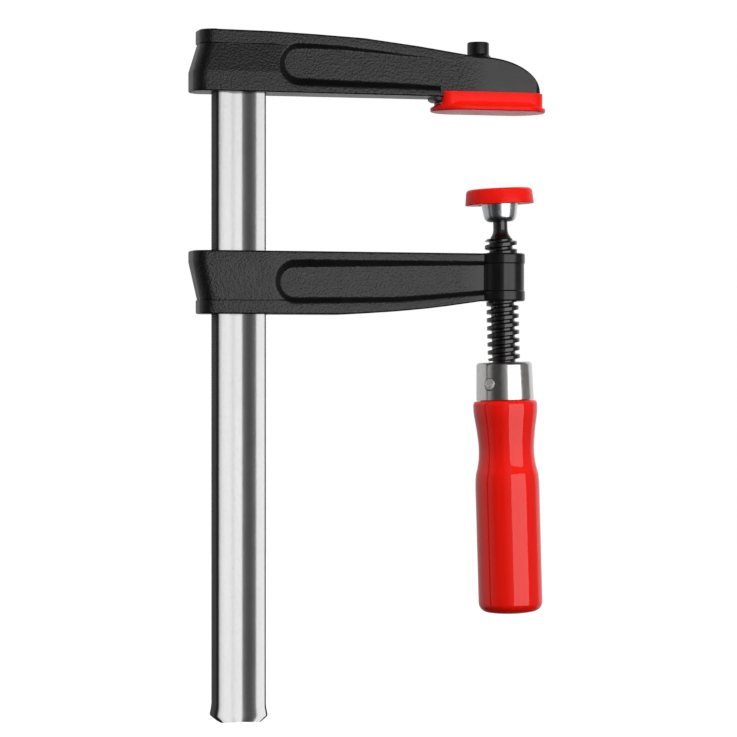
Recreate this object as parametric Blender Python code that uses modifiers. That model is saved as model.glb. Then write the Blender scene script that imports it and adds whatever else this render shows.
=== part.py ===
"""F clamp, 250 mm opening and 120 mm throat, with a wooden handle.

Frame: origin at the middle of the rail's lower end, +Z up the rail to the
fixed jaw, +X from the rail to the spindle, -Y the front of the clamp.
Lengths are written in millimetres and become metres when a mesh is stored.
"""

import math

import bmesh
import bpy
from mathutils import Vector

MM = 0.001
MERGE = 0.00001     # merge distance in metres for turned shapes
GAP = 0.3           # clearance between neighbouring pieces

# Rail
RAIL_WIDTH = 25.0
RAIL_THICKNESS = 13.0
RAIL_LENGTH = 332.6
RAIL_CHAMFER = 1.0
GROOVE_HALF_WIDTH = 8.0
GROOVE_DEPTH = 1.8
END_BEVEL_WIDTH = 3.3
END_BEVEL_HEIGHT = 2.8
END_FLARE = 0.7
END_FLARE_TOP = 7.0

# Castings
CAST_HALF = 11.0            # half thickness at the clamping edge, by the rail
CAST_BACK_HALF = 9.9        # half thickness at the outer edge, by the rail
PANEL_HALF = 7.7            # half thickness at the floor of the side recess
HEEL_X = -23.7              # back of the casting at the clamping edge
HEEL_NARROW_X = -19.8       # back of the casting where it is narrowest
HEEL_STEP = 0.5             # height of the small step above that
HEEL_RADIUS = 6.5           # vertical corners of the heel
SLOT_CLEARANCE = 0.4        # sliding arm to rail, each side

# Fixed jaw
JAW_FACE_Z = 303.3
JAW_STRIP_Z = 313.0
JAW_STEP_Z = 326.3
FOOT_Z = 299.0
FOOT_X = 107.6
TOP_FLANGE_END_X = 104.7
LOW_FLANGE_END_X = 99.6
JAW_RECESS_LEFT = 21.7
NOSE_CENTRE_X = 118.0
NOSE_LENGTH = 33.9
NOSE_HEIGHT = 20.4
NOSE_FULLNESS = 2.2         # exponent of the nose's outline, 2 for an ellipse
NOSE_HALF = 7.65
NOSE_CORNER = 4.2           # vertical corners of the nose, seen from above
NUB_X = 121.0
NUB_RADIUS = 5.4
NUB_TOP_Z = 331.2
STOP_RIB_X = (95.0, 105.6)
STOP_RIB_Z = 300.5
STOP_RIB_HALF = 6.5

# Cap on the fixed jaw
CAP_FACE_Z = 296.6
CAP_CENTRE_X = 126.0
CAP_HALF_LENGTH = 29.0
CAP_HALF_WIDTH = 15.0
CAP_SKIRT_X = (100.3, 153.1)
CAP_SKIRT_CORNERS = (4.5, 7.6)
CAP_SKIRT_HALF = 10.4
CAP_SKIRT_TOP_Z = 306.1

# Sliding arm
ARM_FACE_Z = 227.0
ARM_STRIP_Z = 221.5
ARM_STEP_Z = 203.3
ARM_BOTTOM_Z = 196.5
ARM_RECESS_LEFT = 19.5
ARM_RECESS_RIGHT = 119.1
FLARE_START_X = 123.0        # where the arm begins to widen into its boss
FLARE_END_X = 131.0
FLARE_HALF = 10.5
BOSS_X = 133.5
BOSS_RADIUS = 10.8
BOSS_RIM_RADIUS = 11.2
BOSS_TOP_Z = 227.2
BOSS_BOTTOM_Z = 203.6
BOSS_RIM = 5.0

# Spindle: heights along its own axis are measured from the ball's centre
BALL_CENTRE = Vector((132.25, 0.0, 248.5))
SPINDLE_LEAN = math.radians(1.63)
BALL_RADIUS = 6.0
NECK_RADIUS = 3.55
THREAD_PITCH = 4.0
THREAD_RADIUS = 8.0
THREAD_ROOT_RADIUS = 5.8
THREAD_CREST_HALF = 0.73
THREAD_ROOT_HALF = 1.33
THREAD_TOP = -14.0
THREAD_BOTTOM = -74.4
THREAD_STEPS = 20
TANG_RADIUS = 5.7
TANG_END = -128.0
PIN_HEIGHT = -85.8
PIN_RADIUS = 3.0
PIN_HALF_LENGTH = 14.4
PIN_SHEET = 0.62
PIN_TURNS = 2.0
PIN_BEARING = math.radians(50.0)

# Handle and ferrule
FERRULE_TOP = -75.0
FERRULE_BOTTOM = -93.7
FERRULE_TOP_RADIUS = 13.7
FERRULE_BOTTOM_RADIUS = 14.25
FERRULE_WALL = 1.2
HANDLE_RADIUS = 15.85
HANDLE_WAIST_RADIUS = 13.8
HANDLE_END = -199.6

# Swivel pad
PAD_TILT = math.radians(2.8)
SHELL_INNER = BALL_RADIUS + GAP
SHELL_OUTER = 7.3
SOCKET_RADIUS = SHELL_OUTER + GAP
CUP_MOUTH_RADIUS = 5.4
CUP_BOTTOM = -5.6
PLATE_RADIUS = 14.2
PLATE_LOW = 4.2
PLATE_TOP = 8.0
PAD_LOW = 2.9
PAD_TOP = 10.6
PAD_RADIUS = 17.0
PAD_TOP_RADIUS = 16.2

ROUND_STEPS = 32


# ---------------------------------------------------------------- scene

def clear_scene():
    for obj in list(bpy.data.objects):
        bpy.data.objects.remove(obj, do_unlink=True)


def new_collection(name):
    collection = bpy.data.collections.new(name)
    bpy.context.scene.collection.children.link(collection)
    return collection


clear_scene()
PARTS = new_collection("f_clamp")
CUTTERS = new_collection("cutters")


def make_material(name, colour, roughness, metallic):
    material = bpy.data.materials.new(name)
    material.use_nodes = True
    shader = material.node_tree.nodes["Principled BSDF"]
    shader.inputs["Base Color"].default_value = (*colour, 1.0)
    shader.inputs["Roughness"].default_value = roughness
    shader.inputs["Metallic"].default_value = metallic
    return material


def add_object(name, mesh, material=None):
    """A part when it has a material, otherwise a hidden cutter or tool body."""
    obj = bpy.data.objects.new(name, mesh)
    if material:
        mesh.materials.append(material)
        PARTS.objects.link(obj)
    else:
        CUTTERS.objects.link(obj)
        obj.hide_render = True
        obj.display_type = "WIRE"
    return obj


def add_empty(name, place, lean=0.0):
    """An empty at a point in millimetres, leaning towards -X about the Y axis."""
    empty = bpy.data.objects.new(name, None)
    empty.empty_display_size = 10 * MM
    empty.location = Vector(place) * MM
    empty.rotation_euler = (0.0, -lean, 0.0)
    PARTS.objects.link(empty)
    return empty


def boolean(obj, tool, operation):
    modifier = obj.modifiers.new(tool.name, "BOOLEAN")
    modifier.operation = operation
    modifier.solver = "EXACT"
    modifier.object = tool


def cut(obj, *tools):
    for tool in tools:
        boolean(obj, tool, "DIFFERENCE")


def join(obj, *tools):
    for tool in tools:
        boolean(obj, tool, "UNION")


# ---------------------------------------------------------------- shapes

def turned(name, profile, material=None, closed=False, steps=ROUND_STEPS):
    """Turn (radius, height) points about Z; the outer side runs from top to bottom."""
    points = [(radius * MM, 0.0, height * MM) for radius, height in profile]
    edges = [(i, i + 1) for i in range(len(points) - 1)]
    if closed:
        edges.append((len(points) - 1, 0))
    mesh = bpy.data.meshes.new(name)
    mesh.from_pydata(points, edges, [])
    obj = add_object(name, mesh, material)
    screw = obj.modifiers.new("turn", "SCREW")
    screw.axis = "Z"
    screw.steps = steps
    screw.render_steps = steps
    screw.use_merge_vertices = True
    screw.merge_threshold = MERGE
    screw.use_smooth_shade = True
    return obj


def arc(centre_r, centre_z, radius, start, end, count):
    """Points on an arc in the (radius, height) plane; angles in degrees from +radius."""
    points = []
    for i in range(count + 1):
        angle = math.radians(start + (end - start) * i / count)
        points.append((centre_r + radius * math.cos(angle), centre_z + radius * math.sin(angle)))
    return points


def smooth_through(points, count):
    """A Catmull-Rom curve through 2D points, with count steps between each pair."""
    padded = [points[0]] + list(points) + [points[-1]]
    curve = []
    for i in range(1, len(padded) - 2):
        p0, p1, p2, p3 = (Vector(p) for p in padded[i - 1:i + 3])
        for step in range(count):
            t = step / count
            point = 0.5 * (2 * p1 + (p2 - p0) * t + (2 * p0 - 5 * p1 + 4 * p2 - p3) * t ** 2
                           + (3 * p1 - p0 - 3 * p2 + p3) * t ** 3)
            curve.append(tuple(point))
    curve.append(tuple(points[-1]))
    return curve


def loft(name, rings, material=None):
    """A closed solid through rings of matching points, each ring planar enough to cap."""
    bm = bmesh.new()
    loops = [[bm.verts.new(Vector(p) * MM) for p in ring] for ring in rings]
    count = len(loops[0])
    for low, high in zip(loops, loops[1:]):
        for i in range(count):
            j = (i + 1) % count
            bm.faces.new((low[i], low[j], high[j], high[i]))
    bm.faces.new(list(reversed(loops[0])))
    bm.faces.new(loops[-1])
    bmesh.ops.recalc_face_normals(bm, faces=bm.faces)
    mesh = bpy.data.meshes.new(name)
    bm.to_mesh(mesh)
    bm.free()
    return add_object(name, mesh, material)


def box(name, low, high):
    bm = bmesh.new()
    bmesh.ops.create_cube(bm, size=1.0)
    low = Vector(low)
    high = Vector(high)
    for vert in bm.verts:
        place = (low + high) / 2 + Vector([vert.co[i] * (high[i] - low[i]) for i in range(3)])
        vert.co = place * MM
    mesh = bpy.data.meshes.new(name)
    bm.to_mesh(mesh)
    bm.free()
    return add_object(name, mesh)


def cylinder(name, radius, half_length, steps=24):
    """A cylinder along Z, centred on its origin."""
    bm = bmesh.new()
    bmesh.ops.create_cone(bm, cap_ends=True, segments=steps, radius1=radius * MM,
                          radius2=radius * MM, depth=2 * half_length * MM)
    mesh = bpy.data.meshes.new(name)
    bm.to_mesh(mesh)
    bm.free()
    return add_object(name, mesh)


def outline_solid(name, points, low, high, material=None):
    """A flat outline in XY, extruded from low to high in Z, as a welded mesh."""
    curve = bpy.data.curves.new(name, "CURVE")
    curve.dimensions = "2D"
    curve.fill_mode = "BOTH"
    curve.extrude = (high - low) / 2 * MM
    spline = curve.splines.new("POLY")
    spline.points.add(len(points) - 1)
    for point, (x, y) in zip(spline.points, points):
        point.co = (x * MM, y * MM, 0.0, 1.0)
    spline.use_cyclic_u = True
    source = bpy.data.objects.new(name + "_outline", curve)
    bpy.context.scene.collection.objects.link(source)
    source.location.z = (low + high) / 2 * MM
    bpy.context.view_layer.update()
    evaluated = source.evaluated_get(bpy.context.evaluated_depsgraph_get())
    mesh = bpy.data.meshes.new_from_object(evaluated)
    mesh.transform(source.matrix_world)
    bm = bmesh.new()
    bm.from_mesh(mesh)
    bmesh.ops.remove_doubles(bm, verts=bm.verts, dist=MERGE)
    bmesh.ops.recalc_face_normals(bm, faces=bm.faces)
    bm.to_mesh(mesh)
    bm.free()
    mesh.materials.clear()
    mesh.name = name
    bpy.data.objects.remove(source, do_unlink=True)
    return add_object(name, mesh, material)


def threaded_rod(name, grow, low, high):
    """A trapezoidal right-hand thread along Z, cut off square at both ends.

    grow is the clearance added all round, for the matching nut thread.
    """
    root = THREAD_ROOT_RADIUS + grow
    crest = THREAD_RADIUS + grow
    root_half = THREAD_ROOT_HALF + grow
    crest_half = THREAD_CREST_HALF + grow
    profile = [(root, -THREAD_PITCH / 2), (root, -root_half), (crest, -crest_half),
               (crest, crest_half), (root, root_half)]
    first = math.floor(low / THREAD_PITCH) - 1
    last = math.ceil(high / THREAD_PITCH) + 1
    bm = bmesh.new()
    rows = []
    for turn in range(first, last):
        for radius, height in profile:
            row = []
            for step in range(THREAD_STEPS + 1):
                angle = 2 * math.pi * step / THREAD_STEPS
                rise = height + THREAD_PITCH * (turn + step / THREAD_STEPS)
                place = (radius * math.cos(angle), radius * math.sin(angle), rise)
                row.append(bm.verts.new(Vector(place) * MM))
            rows.append(row)
    for lower, upper in zip(rows, rows[1:]):
        for step in range(THREAD_STEPS):
            bm.faces.new((lower[step], lower[step + 1], upper[step + 1], upper[step]))
    bmesh.ops.remove_doubles(bm, verts=bm.verts, dist=MERGE)
    for height, normal in ((low, (0, 0, -1)), (high, (0, 0, 1))):
        everything = bm.verts[:] + bm.edges[:] + bm.faces[:]
        bmesh.ops.bisect_plane(bm, geom=everything, plane_co=(0, 0, height * MM),
                               plane_no=normal, clear_outer=True, dist=MERGE * 0.01)
    bmesh.ops.holes_fill(bm, edges=[edge for edge in bm.edges if edge.is_boundary])
    bmesh.ops.recalc_face_normals(bm, faces=bm.faces)
    mesh = bpy.data.meshes.new(name)
    bm.to_mesh(mesh)
    bm.free()
    return add_object(name, mesh)


# ---------------------------------------------------------------- materials

BLACK_COAT = make_material("black_coat", (0.035, 0.036, 0.038), 0.45, 0.0)
BLACK_STEEL = make_material("black_steel", (0.05, 0.05, 0.052), 0.3, 0.6)
ZINC_STEEL = make_material("zinc_steel", (0.68, 0.69, 0.70), 0.3, 1.0)
BRIGHT_STEEL = make_material("bright_steel", (0.78, 0.78, 0.77), 0.18, 1.0)
PIN_STEEL = make_material("pin_steel", (0.6, 0.6, 0.6), 0.3, 1.0)
CUP_STEEL = make_material("cup_steel", (0.75, 0.77, 0.78), 0.2, 1.0)
SEAT_STEEL = make_material("seat_steel", (0.45, 0.45, 0.46), 0.35, 1.0)
RETAINER_STEEL = make_material("retainer_steel", (0.4, 0.4, 0.42), 0.35, 1.0)
RED_PLASTIC = make_material("red_plastic", (0.78, 0.012, 0.008), 0.35, 0.0)
RED_CAP_PLASTIC = make_material("red_cap_plastic", (0.78, 0.012, 0.008), 0.35, 0.0)
RED_LACQUER = make_material("red_lacquer", (0.72, 0.01, 0.006), 0.2, 0.0)


# ---------------------------------------------------------------- rail

def rail_section(grow=0.0):
    """The rail's outline in XY, anticlockwise, with its groove on both wide faces."""
    half_x = RAIL_WIDTH / 2 + grow
    half_y = RAIL_THICKNESS / 2 + grow
    steps = 10
    side = [(-half_x + RAIL_CHAMFER, -half_y)]
    for i in range(steps + 1):
        x = -GROOVE_HALF_WIDTH + 2 * GROOVE_HALF_WIDTH * i / steps
        depth = GROOVE_DEPTH * 0.5 * (1 + math.cos(math.pi * x / GROOVE_HALF_WIDTH))
        side.append((x, -half_y + depth))
    side.append((half_x - RAIL_CHAMFER, -half_y))
    side.append((half_x, -half_y + RAIL_CHAMFER))
    return side + [(-x, -y) for x, y in side]


def make_rail():
    narrow = 1 - 2 * (END_BEVEL_WIDTH - END_FLARE) / RAIL_WIDTH
    wide = 1 + 2 * END_FLARE / RAIL_WIDTH
    levels = [(0.0, narrow), (END_BEVEL_HEIGHT, wide), (END_FLARE_TOP / 2, wide),
              (END_FLARE_TOP, 1.0), (RAIL_LENGTH, 1.0)]
    rings = [[(x * width, y, z) for x, y in rail_section()] for z, width in levels]
    return loft("rail", rings, ZINC_STEEL)


def rail_slot(name, clearance, low, high):
    return loft(name, [[(x, y, z) for x, y in rail_section(clearance)] for z in (low, high)])


# ---------------------------------------------------------------- castings

def section_ring(heights, halves, xs):
    """One ring of a casting: heights along its front, then back up the other side."""
    front = [(x, -half, z) for x, half, z in zip(xs, halves, heights)]
    back = [(x, half, z) for x, half, z in zip(xs, halves, heights)]
    return front + back[::-1]


def heel_rings(heights, halves, backs):
    """Rings round the heel's two vertical corners, seen from above."""
    rings = []
    steps = 5
    for i in range(steps + 1):
        angle = math.pi / 2 * i / steps
        xs = [back + HEEL_RADIUS * (1 - math.cos(angle)) for back in backs]
        widths = [half - HEEL_RADIUS * (1 - math.sin(angle)) for half in halves]
        rings.append(section_ring(heights, widths, xs))
    return rings


def between(points, x):
    """The height at x on a line of (x, height) points."""
    for (x0, z0), (x1, z1) in zip(points, points[1:]):
        if x <= x1:
            return z0 + (z1 - z0) * (x - x0) / (x1 - x0)
    return points[-1][1]


def recess_cutter(name, outline, side):
    """A cutter with walls at 45 degrees on an (x, z) floor outline; side is -1 or 1."""
    depth = 5.0
    count = len(outline)
    wide = []
    for i in range(count):
        before = Vector(outline[i - 1])
        after = Vector(outline[(i + 1) % count])
        along = (after - before).normalized()
        wide.append(Vector(outline[i]) + depth * Vector((along.y, -along.x)))
    floor = [(x, side * PANEL_HALF, z) for x, z in outline]
    mouth = [(x, side * (PANEL_HALF + depth), z) for x, z in wide]
    return loft(name, [floor, mouth])


def recess_outline(left, lower, upper):
    """Anticlockwise floor outline: lower edge left to right, upper edge back, round left end."""
    radius = (upper[0][1] - lower[0][1]) / 2
    middle = lower[0][1] + radius
    outline = list(lower) + list(upper[::-1])
    steps = 6
    for i in range(1, steps):
        angle = math.pi / 2 + math.pi * i / steps
        outline.append((left + radius + radius * math.cos(angle), middle + radius * math.sin(angle)))
    return outline


def make_fixed_jaw():
    top_line = [(-30.0, 333.3), (12.8, 332.8), (35.6, 332.0), (61.0, 330.8), (89.0, 327.7),
                (NOSE_CENTRE_X, JAW_FACE_Z + NOSE_HEIGHT)]
    front_x = 15.0
    heel_top = between(top_line, HEEL_X)
    heights = [JAW_FACE_Z, JAW_STRIP_Z, JAW_STEP_Z, JAW_STEP_Z + 0.3, heel_top]
    narrow = CAST_BACK_HALF - HEEL_STEP
    halves = [CAST_HALF, CAST_HALF, narrow, CAST_BACK_HALF, CAST_BACK_HALF]
    step_x = HEEL_NARROW_X - HEEL_STEP
    backs = [HEEL_X, HEEL_X, HEEL_NARROW_X, step_x, step_x]
    rings = heel_rings(heights, halves, backs)

    def ring_at(x, low, low_half, high_half):
        high = between(top_line, x)
        share = (x - front_x) / (TOP_FLANGE_END_X - front_x)
        strip = JAW_STRIP_Z + (low - JAW_FACE_Z) * 0.5
        step = min(JAW_STEP_Z - 6.0 * max(share, 0.0), high - 3.0)
        levels = [low, strip, step, step + 0.3, high]
        inner = min(high_half, narrow)
        return section_ring(levels, [low_half, low_half, inner, high_half, high_half], [x] * 5)

    rings.append(ring_at(front_x, JAW_FACE_Z, CAST_HALF, CAST_BACK_HALF))
    for x in (35.6, 61.0, 89.0, LOW_FLANGE_END_X - 0.4, LOW_FLANGE_END_X, TOP_FLANGE_END_X):
        share = (x - front_x) / (TOP_FLANGE_END_X - front_x)
        high_half = CAST_BACK_HALF + (NOSE_HALF - CAST_BACK_HALF) * share
        low_half = CAST_HALF - 1.3 * share if x < LOW_FLANGE_END_X else NOSE_HALF
        rings.append(ring_at(x, JAW_FACE_Z, low_half, high_half))
    rings.append(ring_at(FOOT_X - 0.3, JAW_FACE_Z, NOSE_HALF, NOSE_HALF))
    rings.append(ring_at(FOOT_X, FOOT_Z, NOSE_HALF, NOSE_HALF))
    for degrees in (0, 15, 30, 42, 54, 64, 73, 81, 86, 90):
        angle = math.radians(degrees)
        x = NOSE_CENTRE_X + NOSE_LENGTH * math.sin(angle) ** (2 / NOSE_FULLNESS)
        high = JAW_FACE_Z + NOSE_HEIGHT * max(math.cos(angle), 0.0) ** (2 / NOSE_FULLNESS)
        past_corner = max(0.0, x - (NOSE_CENTRE_X + NOSE_LENGTH - NOSE_CORNER))
        half = NOSE_HALF - NOSE_CORNER + math.sqrt(max(0.0, NOSE_CORNER ** 2 - past_corner ** 2))
        levels = [FOOT_Z + (high - FOOT_Z) * share for share in (0.0, 0.4, 0.7, 0.72, 1.0)]
        rings.append(section_ring(levels, [half] * 5, [x] * 5))
    jaw = loft("fixed_jaw", rings, BLACK_COAT)

    lower = [(28.5, 310.8), (48.0, 310.3), (83.0, 309.5), (100.0, 308.7), (116.0, 308.0)]
    upper = [(28.5, 324.5), (48.0, 324.5), (64.5, 323.5), (83.0, 322.2), (100.0, 321.5), (116.0, 321.3)]
    outline = recess_outline(JAW_RECESS_LEFT, lower, upper)
    nub = turned("nub", [(0.0, NUB_TOP_Z), (NUB_RADIUS - 0.8, NUB_TOP_Z), (NUB_RADIUS, NUB_TOP_Z - 0.8),
                         (NUB_RADIUS, 327.0), (NUB_RADIUS + 0.4, 325.2), (NUB_RADIUS + 1.6, 323.6),
                         (NUB_RADIUS + 2.1, 322.0), (NUB_RADIUS + 2.1, 318.0), (0.0, 318.0)], steps=20)
    nub.location.x = NUB_X * MM
    rib_side = [(STOP_RIB_X[0], JAW_FACE_Z + 1.0), (STOP_RIB_X[0], STOP_RIB_Z + 1.0),
                (STOP_RIB_X[0] + 2.0, STOP_RIB_Z), (STOP_RIB_X[1], STOP_RIB_Z),
                (STOP_RIB_X[1], JAW_FACE_Z + 1.0)]
    rib = loft("stop_rib", [[(x, y, z) for x, z in rib_side] for y in (-STOP_RIB_HALF, STOP_RIB_HALF)])
    cut(jaw, recess_cutter("jaw_recess_front", outline, -1), recess_cutter("jaw_recess_back", outline, 1))
    join(jaw, nub, rib)
    cut(jaw, rail_slot("jaw_slot", GAP, JAW_FACE_Z - 8, JAW_FACE_Z + 40))
    return jaw


def rounded_rectangle(left, right, half, left_radius, right_radius):
    """Anticlockwise outline in XY, about the X axis, with its own corner radius at each end."""
    steps = 6
    front = []
    corners = ((left + left_radius, left_radius, math.pi), (right - right_radius, right_radius, 1.5 * math.pi))
    for centre, radius, start in corners:
        for i in range(steps + 1):
            angle = start + math.pi / 2 * i / steps
            front.append((centre + radius * math.cos(angle), radius - half + radius * math.sin(angle)))
    return front + [(x, -y) for x, y in front[::-1]]


def stadium(half_length, half_width):
    steps = 12
    straight = CAP_HALF_LENGTH - CAP_HALF_WIDTH
    reach = half_length - straight
    points = []
    for side in (1, -1):
        for i in range(steps + 1):
            angle = math.pi * (i / steps - 0.5)
            points.append((CAP_CENTRE_X + side * (straight + reach * math.cos(angle)),
                           side * half_width * math.sin(angle)))
    return points


def make_fixed_jaw_cap():
    edge = 0.5
    levels = [(CAP_FACE_Z, edge), (CAP_FACE_Z + edge, 0.0), (CAP_FACE_Z + 1.9, 0.0),
              (CAP_FACE_Z + 3.0, 2.2), (CAP_FACE_Z + 4.6, 3.8)]
    rings = [[(x, y, z) for x, y in stadium(CAP_HALF_LENGTH - inset, CAP_HALF_WIDTH - inset)]
             for z, inset in levels]
    cap = loft("fixed_jaw_cap", rings, RED_CAP_PLASTIC)
    left, right = CAP_SKIRT_X
    skirt_outline = rounded_rectangle(left, right, CAP_SKIRT_HALF, *CAP_SKIRT_CORNERS)
    skirt = outline_solid("cap_skirt", skirt_outline, CAP_FACE_Z + 2.5, CAP_SKIRT_TOP_Z)
    nose_end = NOSE_CENTRE_X + NOSE_LENGTH
    foot_room = rounded_rectangle(FOOT_X - GAP, nose_end + GAP, NOSE_HALF + GAP, 0.2, NOSE_CORNER)
    hollow = loft("cap_hollow", [[(x, y, z) for x, y in foot_room]
                                 for z in (FOOT_Z - GAP, CAP_SKIRT_TOP_Z + 5)])
    jaw_room = box("cap_jaw_room", (left - 5, -NOSE_HALF - GAP, JAW_FACE_Z - GAP),
                   (FOOT_X, NOSE_HALF + GAP, CAP_SKIRT_TOP_Z + 5))
    rib_room = box("cap_rib_room", (STOP_RIB_X[0] - 4, -STOP_RIB_HALF - GAP, STOP_RIB_Z - GAP),
                   (STOP_RIB_X[1] + GAP, STOP_RIB_HALF + GAP, JAW_FACE_Z + 2))
    join(cap, skirt)
    cut(cap, hollow, jaw_room, rib_room)
    return cap


def make_sliding_arm(spindle_axis):
    bottom_line = [(-30.0, ARM_BOTTOM_Z), (50.0, ARM_BOTTOM_Z), (63.0, 197.2), (78.0, 198.2), (93.0, 199.6),
                   (103.5, 200.9), (122.6, 203.6), (140.0, 206.0)]
    front_x = 15.0
    narrow = CAST_BACK_HALF - HEEL_STEP
    step_x = HEEL_NARROW_X - HEEL_STEP
    heights = [ARM_FACE_Z, ARM_STRIP_Z, ARM_STEP_Z, ARM_STEP_Z - 0.3, ARM_BOTTOM_Z]
    halves = [CAST_HALF, CAST_HALF, narrow, CAST_BACK_HALF, CAST_BACK_HALF]
    rings = heel_rings(heights, halves, [HEEL_X, HEEL_X, HEEL_NARROW_X, step_x, step_x])
    end_x = FLARE_START_X
    for x in (front_x, 50.0, 63.0, 78.0, 93.0, 103.5, 113.0, end_x):
        share = (x - front_x) / (end_x - front_x)
        low = between(bottom_line, x)
        step = max(ARM_STEP_Z + 3.5 * share, low + 2.5)
        low_half = CAST_BACK_HALF - 0.5 * share
        levels = [ARM_FACE_Z, ARM_STRIP_Z, step, step - 0.3, low]
        widths = [CAST_HALF - 1.4 * share, CAST_HALF - 1.4 * share, narrow, low_half, low_half]
        rings.append(section_ring(levels, widths, [x] * 5))
    rings.append(section_ring([ARM_FACE_Z, ARM_STRIP_Z, 209.5, 209.2, BOSS_BOTTOM_Z], [FLARE_HALF] * 5,
                              [FLARE_END_X] * 5))
    arm = loft("sliding_arm", rings, BLACK_COAT)

    lower = [(26.5, 204.9), (76.8, 205.4), (92.0, 206.5), (ARM_RECESS_RIGHT, 208.7)]
    upper = [(26.5, 218.8), (ARM_RECESS_RIGHT, 220.7)]
    outline = recess_outline(ARM_RECESS_LEFT, lower, upper)
    for side, place in ((-1, "front"), (1, "back")):
        cut(arm, recess_cutter("arm_recess_" + place, outline, side))

    groove = 0.5
    boss_profile = [(0.0, BOSS_TOP_Z), (BOSS_RIM_RADIUS - groove, BOSS_TOP_Z),
                    (BOSS_RIM_RADIUS, BOSS_TOP_Z - groove), (BOSS_RIM_RADIUS, BOSS_TOP_Z - BOSS_RIM),
                    (BOSS_RADIUS, BOSS_TOP_Z - BOSS_RIM - groove),
                    (BOSS_RADIUS, BOSS_BOTTOM_Z + BOSS_RIM + groove),
                    (BOSS_RIM_RADIUS, BOSS_BOTTOM_Z + BOSS_RIM),
                    (BOSS_RIM_RADIUS, BOSS_BOTTOM_Z + groove), (BOSS_RIM_RADIUS - groove, BOSS_BOTTOM_Z),
                    (0.0, BOSS_BOTTOM_Z)]
    boss = turned("boss", boss_profile)
    boss.location.x = BOSS_X * MM
    join(arm, boss)
    nut = threaded_rod("nut_thread", GAP, -50.0, -17.0)
    nut.parent = spindle_axis
    cut(arm, nut)
    cut(arm, rail_slot("arm_slot", SLOT_CLEARANCE, ARM_BOTTOM_Z - 5, ARM_FACE_Z + 5))
    return arm


# ---------------------------------------------------------------- spindle and handle

def across(cutter):
    """Lay a cylinder along the pin's direction, at the pin's height."""
    cutter.rotation_euler = (math.pi / 2, 0.0, -PIN_BEARING)
    cutter.location = (0.0, 0.0, PIN_HEIGHT * MM)
    return cutter


def make_spindle():
    neck_angle = math.degrees(math.asin(NECK_RADIUS / BALL_RADIUS))
    profile = arc(0.0, 0.0, BALL_RADIUS, 90.0, -90.0 + neck_angle, 10)
    profile[0] = (0.0, BALL_RADIUS)
    profile += smooth_through([(NECK_RADIUS, -9.5), (3.9, -11.4), (4.8, -13.0), (5.5, -14.4)], 2)
    profile += [(5.5, THREAD_BOTTOM + 1.0), (TANG_RADIUS - 0.2, THREAD_BOTTOM + 1.0),
                (TANG_RADIUS, THREAD_BOTTOM - 0.6), (TANG_RADIUS, TANG_END + 1.0),
                (TANG_RADIUS - 1.0, TANG_END), (0.0, TANG_END)]
    spindle = turned("spindle", profile, BLACK_STEEL, steps=24)
    thread = threaded_rod("spindle_thread", 0.0, THREAD_BOTTOM, THREAD_TOP)
    pin_hole = across(cylinder("spindle_pin_hole", PIN_RADIUS + GAP, 12.0))
    join(spindle, thread)
    cut(spindle, pin_hole)
    return [spindle, thread, pin_hole]


def make_handle_ferrule():
    inner_top = FERRULE_TOP_RADIUS - FERRULE_WALL
    inner_bottom = FERRULE_BOTTOM_RADIUS - FERRULE_WALL
    hole = TANG_RADIUS + GAP
    profile = [(hole, FERRULE_TOP), (FERRULE_TOP_RADIUS - 0.8, FERRULE_TOP),
               (FERRULE_TOP_RADIUS, FERRULE_TOP - 0.8), (FERRULE_BOTTOM_RADIUS, FERRULE_BOTTOM),
               (inner_bottom, FERRULE_BOTTOM), (inner_top, FERRULE_TOP - FERRULE_WALL),
               (hole, FERRULE_TOP - FERRULE_WALL)]
    ferrule = turned("handle_ferrule", profile, BRIGHT_STEEL, closed=True)
    pin_hole = across(cylinder("ferrule_pin_hole", PIN_RADIUS + GAP, 18.0))
    cut(ferrule, pin_hole)
    return [ferrule, pin_hole]


def make_handle():
    neck = FERRULE_TOP_RADIUS - FERRULE_WALL - GAP
    neck_top = FERRULE_TOP - FERRULE_WALL - GAP
    shoulder = FERRULE_BOTTOM - GAP
    bore = TANG_RADIUS + GAP
    corner = 5.0
    body = [(HANDLE_RADIUS, shoulder - 2.2), (HANDLE_RADIUS - 0.15, -100.5), (14.65, -107.5),
            (HANDLE_WAIST_RADIUS, -115.5), (HANDLE_WAIST_RADIUS, -121.5), (14.5, -126.5),
            (15.45, -130.5), (HANDLE_RADIUS, -136.0)]
    profile = [(bore, neck_top), (neck, neck_top), (neck, shoulder), (FERRULE_BOTTOM_RADIUS, shoulder),
               (HANDLE_RADIUS - 0.5, shoulder - 0.7)]
    profile += smooth_through(body, 2)
    profile += arc(HANDLE_RADIUS - corner, HANDLE_END + corner + 1.0, corner, 0.0, -78.0, 5)
    profile += [(5.0, HANDLE_END + 0.2), (0.0, HANDLE_END), (0.0, TANG_END - 1.0), (bore, TANG_END - 1.0)]
    handle = turned("handle", profile, RED_LACQUER, closed=True)
    pin_hole = across(cylinder("handle_pin_hole", PIN_RADIUS + GAP, 14.0))
    cut(handle, pin_hole)
    return [handle, pin_hole]


def make_handle_pin():
    """A coiled spring pin: one strip rolled up twice round."""
    gap = 0.12
    steps = 36
    outer = []
    inner = []
    for i in range(steps + 1):
        turn = PIN_TURNS * i / steps
        angle = 2 * math.pi * turn
        radius = PIN_RADIUS - (PIN_SHEET + gap) * turn
        outer.append((radius * math.cos(angle), radius * math.sin(angle)))
        inner.append(((radius - PIN_SHEET) * math.cos(angle), (radius - PIN_SHEET) * math.sin(angle)))
    pin = outline_solid("handle_pin", outer + inner[::-1], -PIN_HALF_LENGTH, PIN_HALF_LENGTH, PIN_STEEL)
    return [across(pin)]


# ---------------------------------------------------------------- swivel pad

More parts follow.
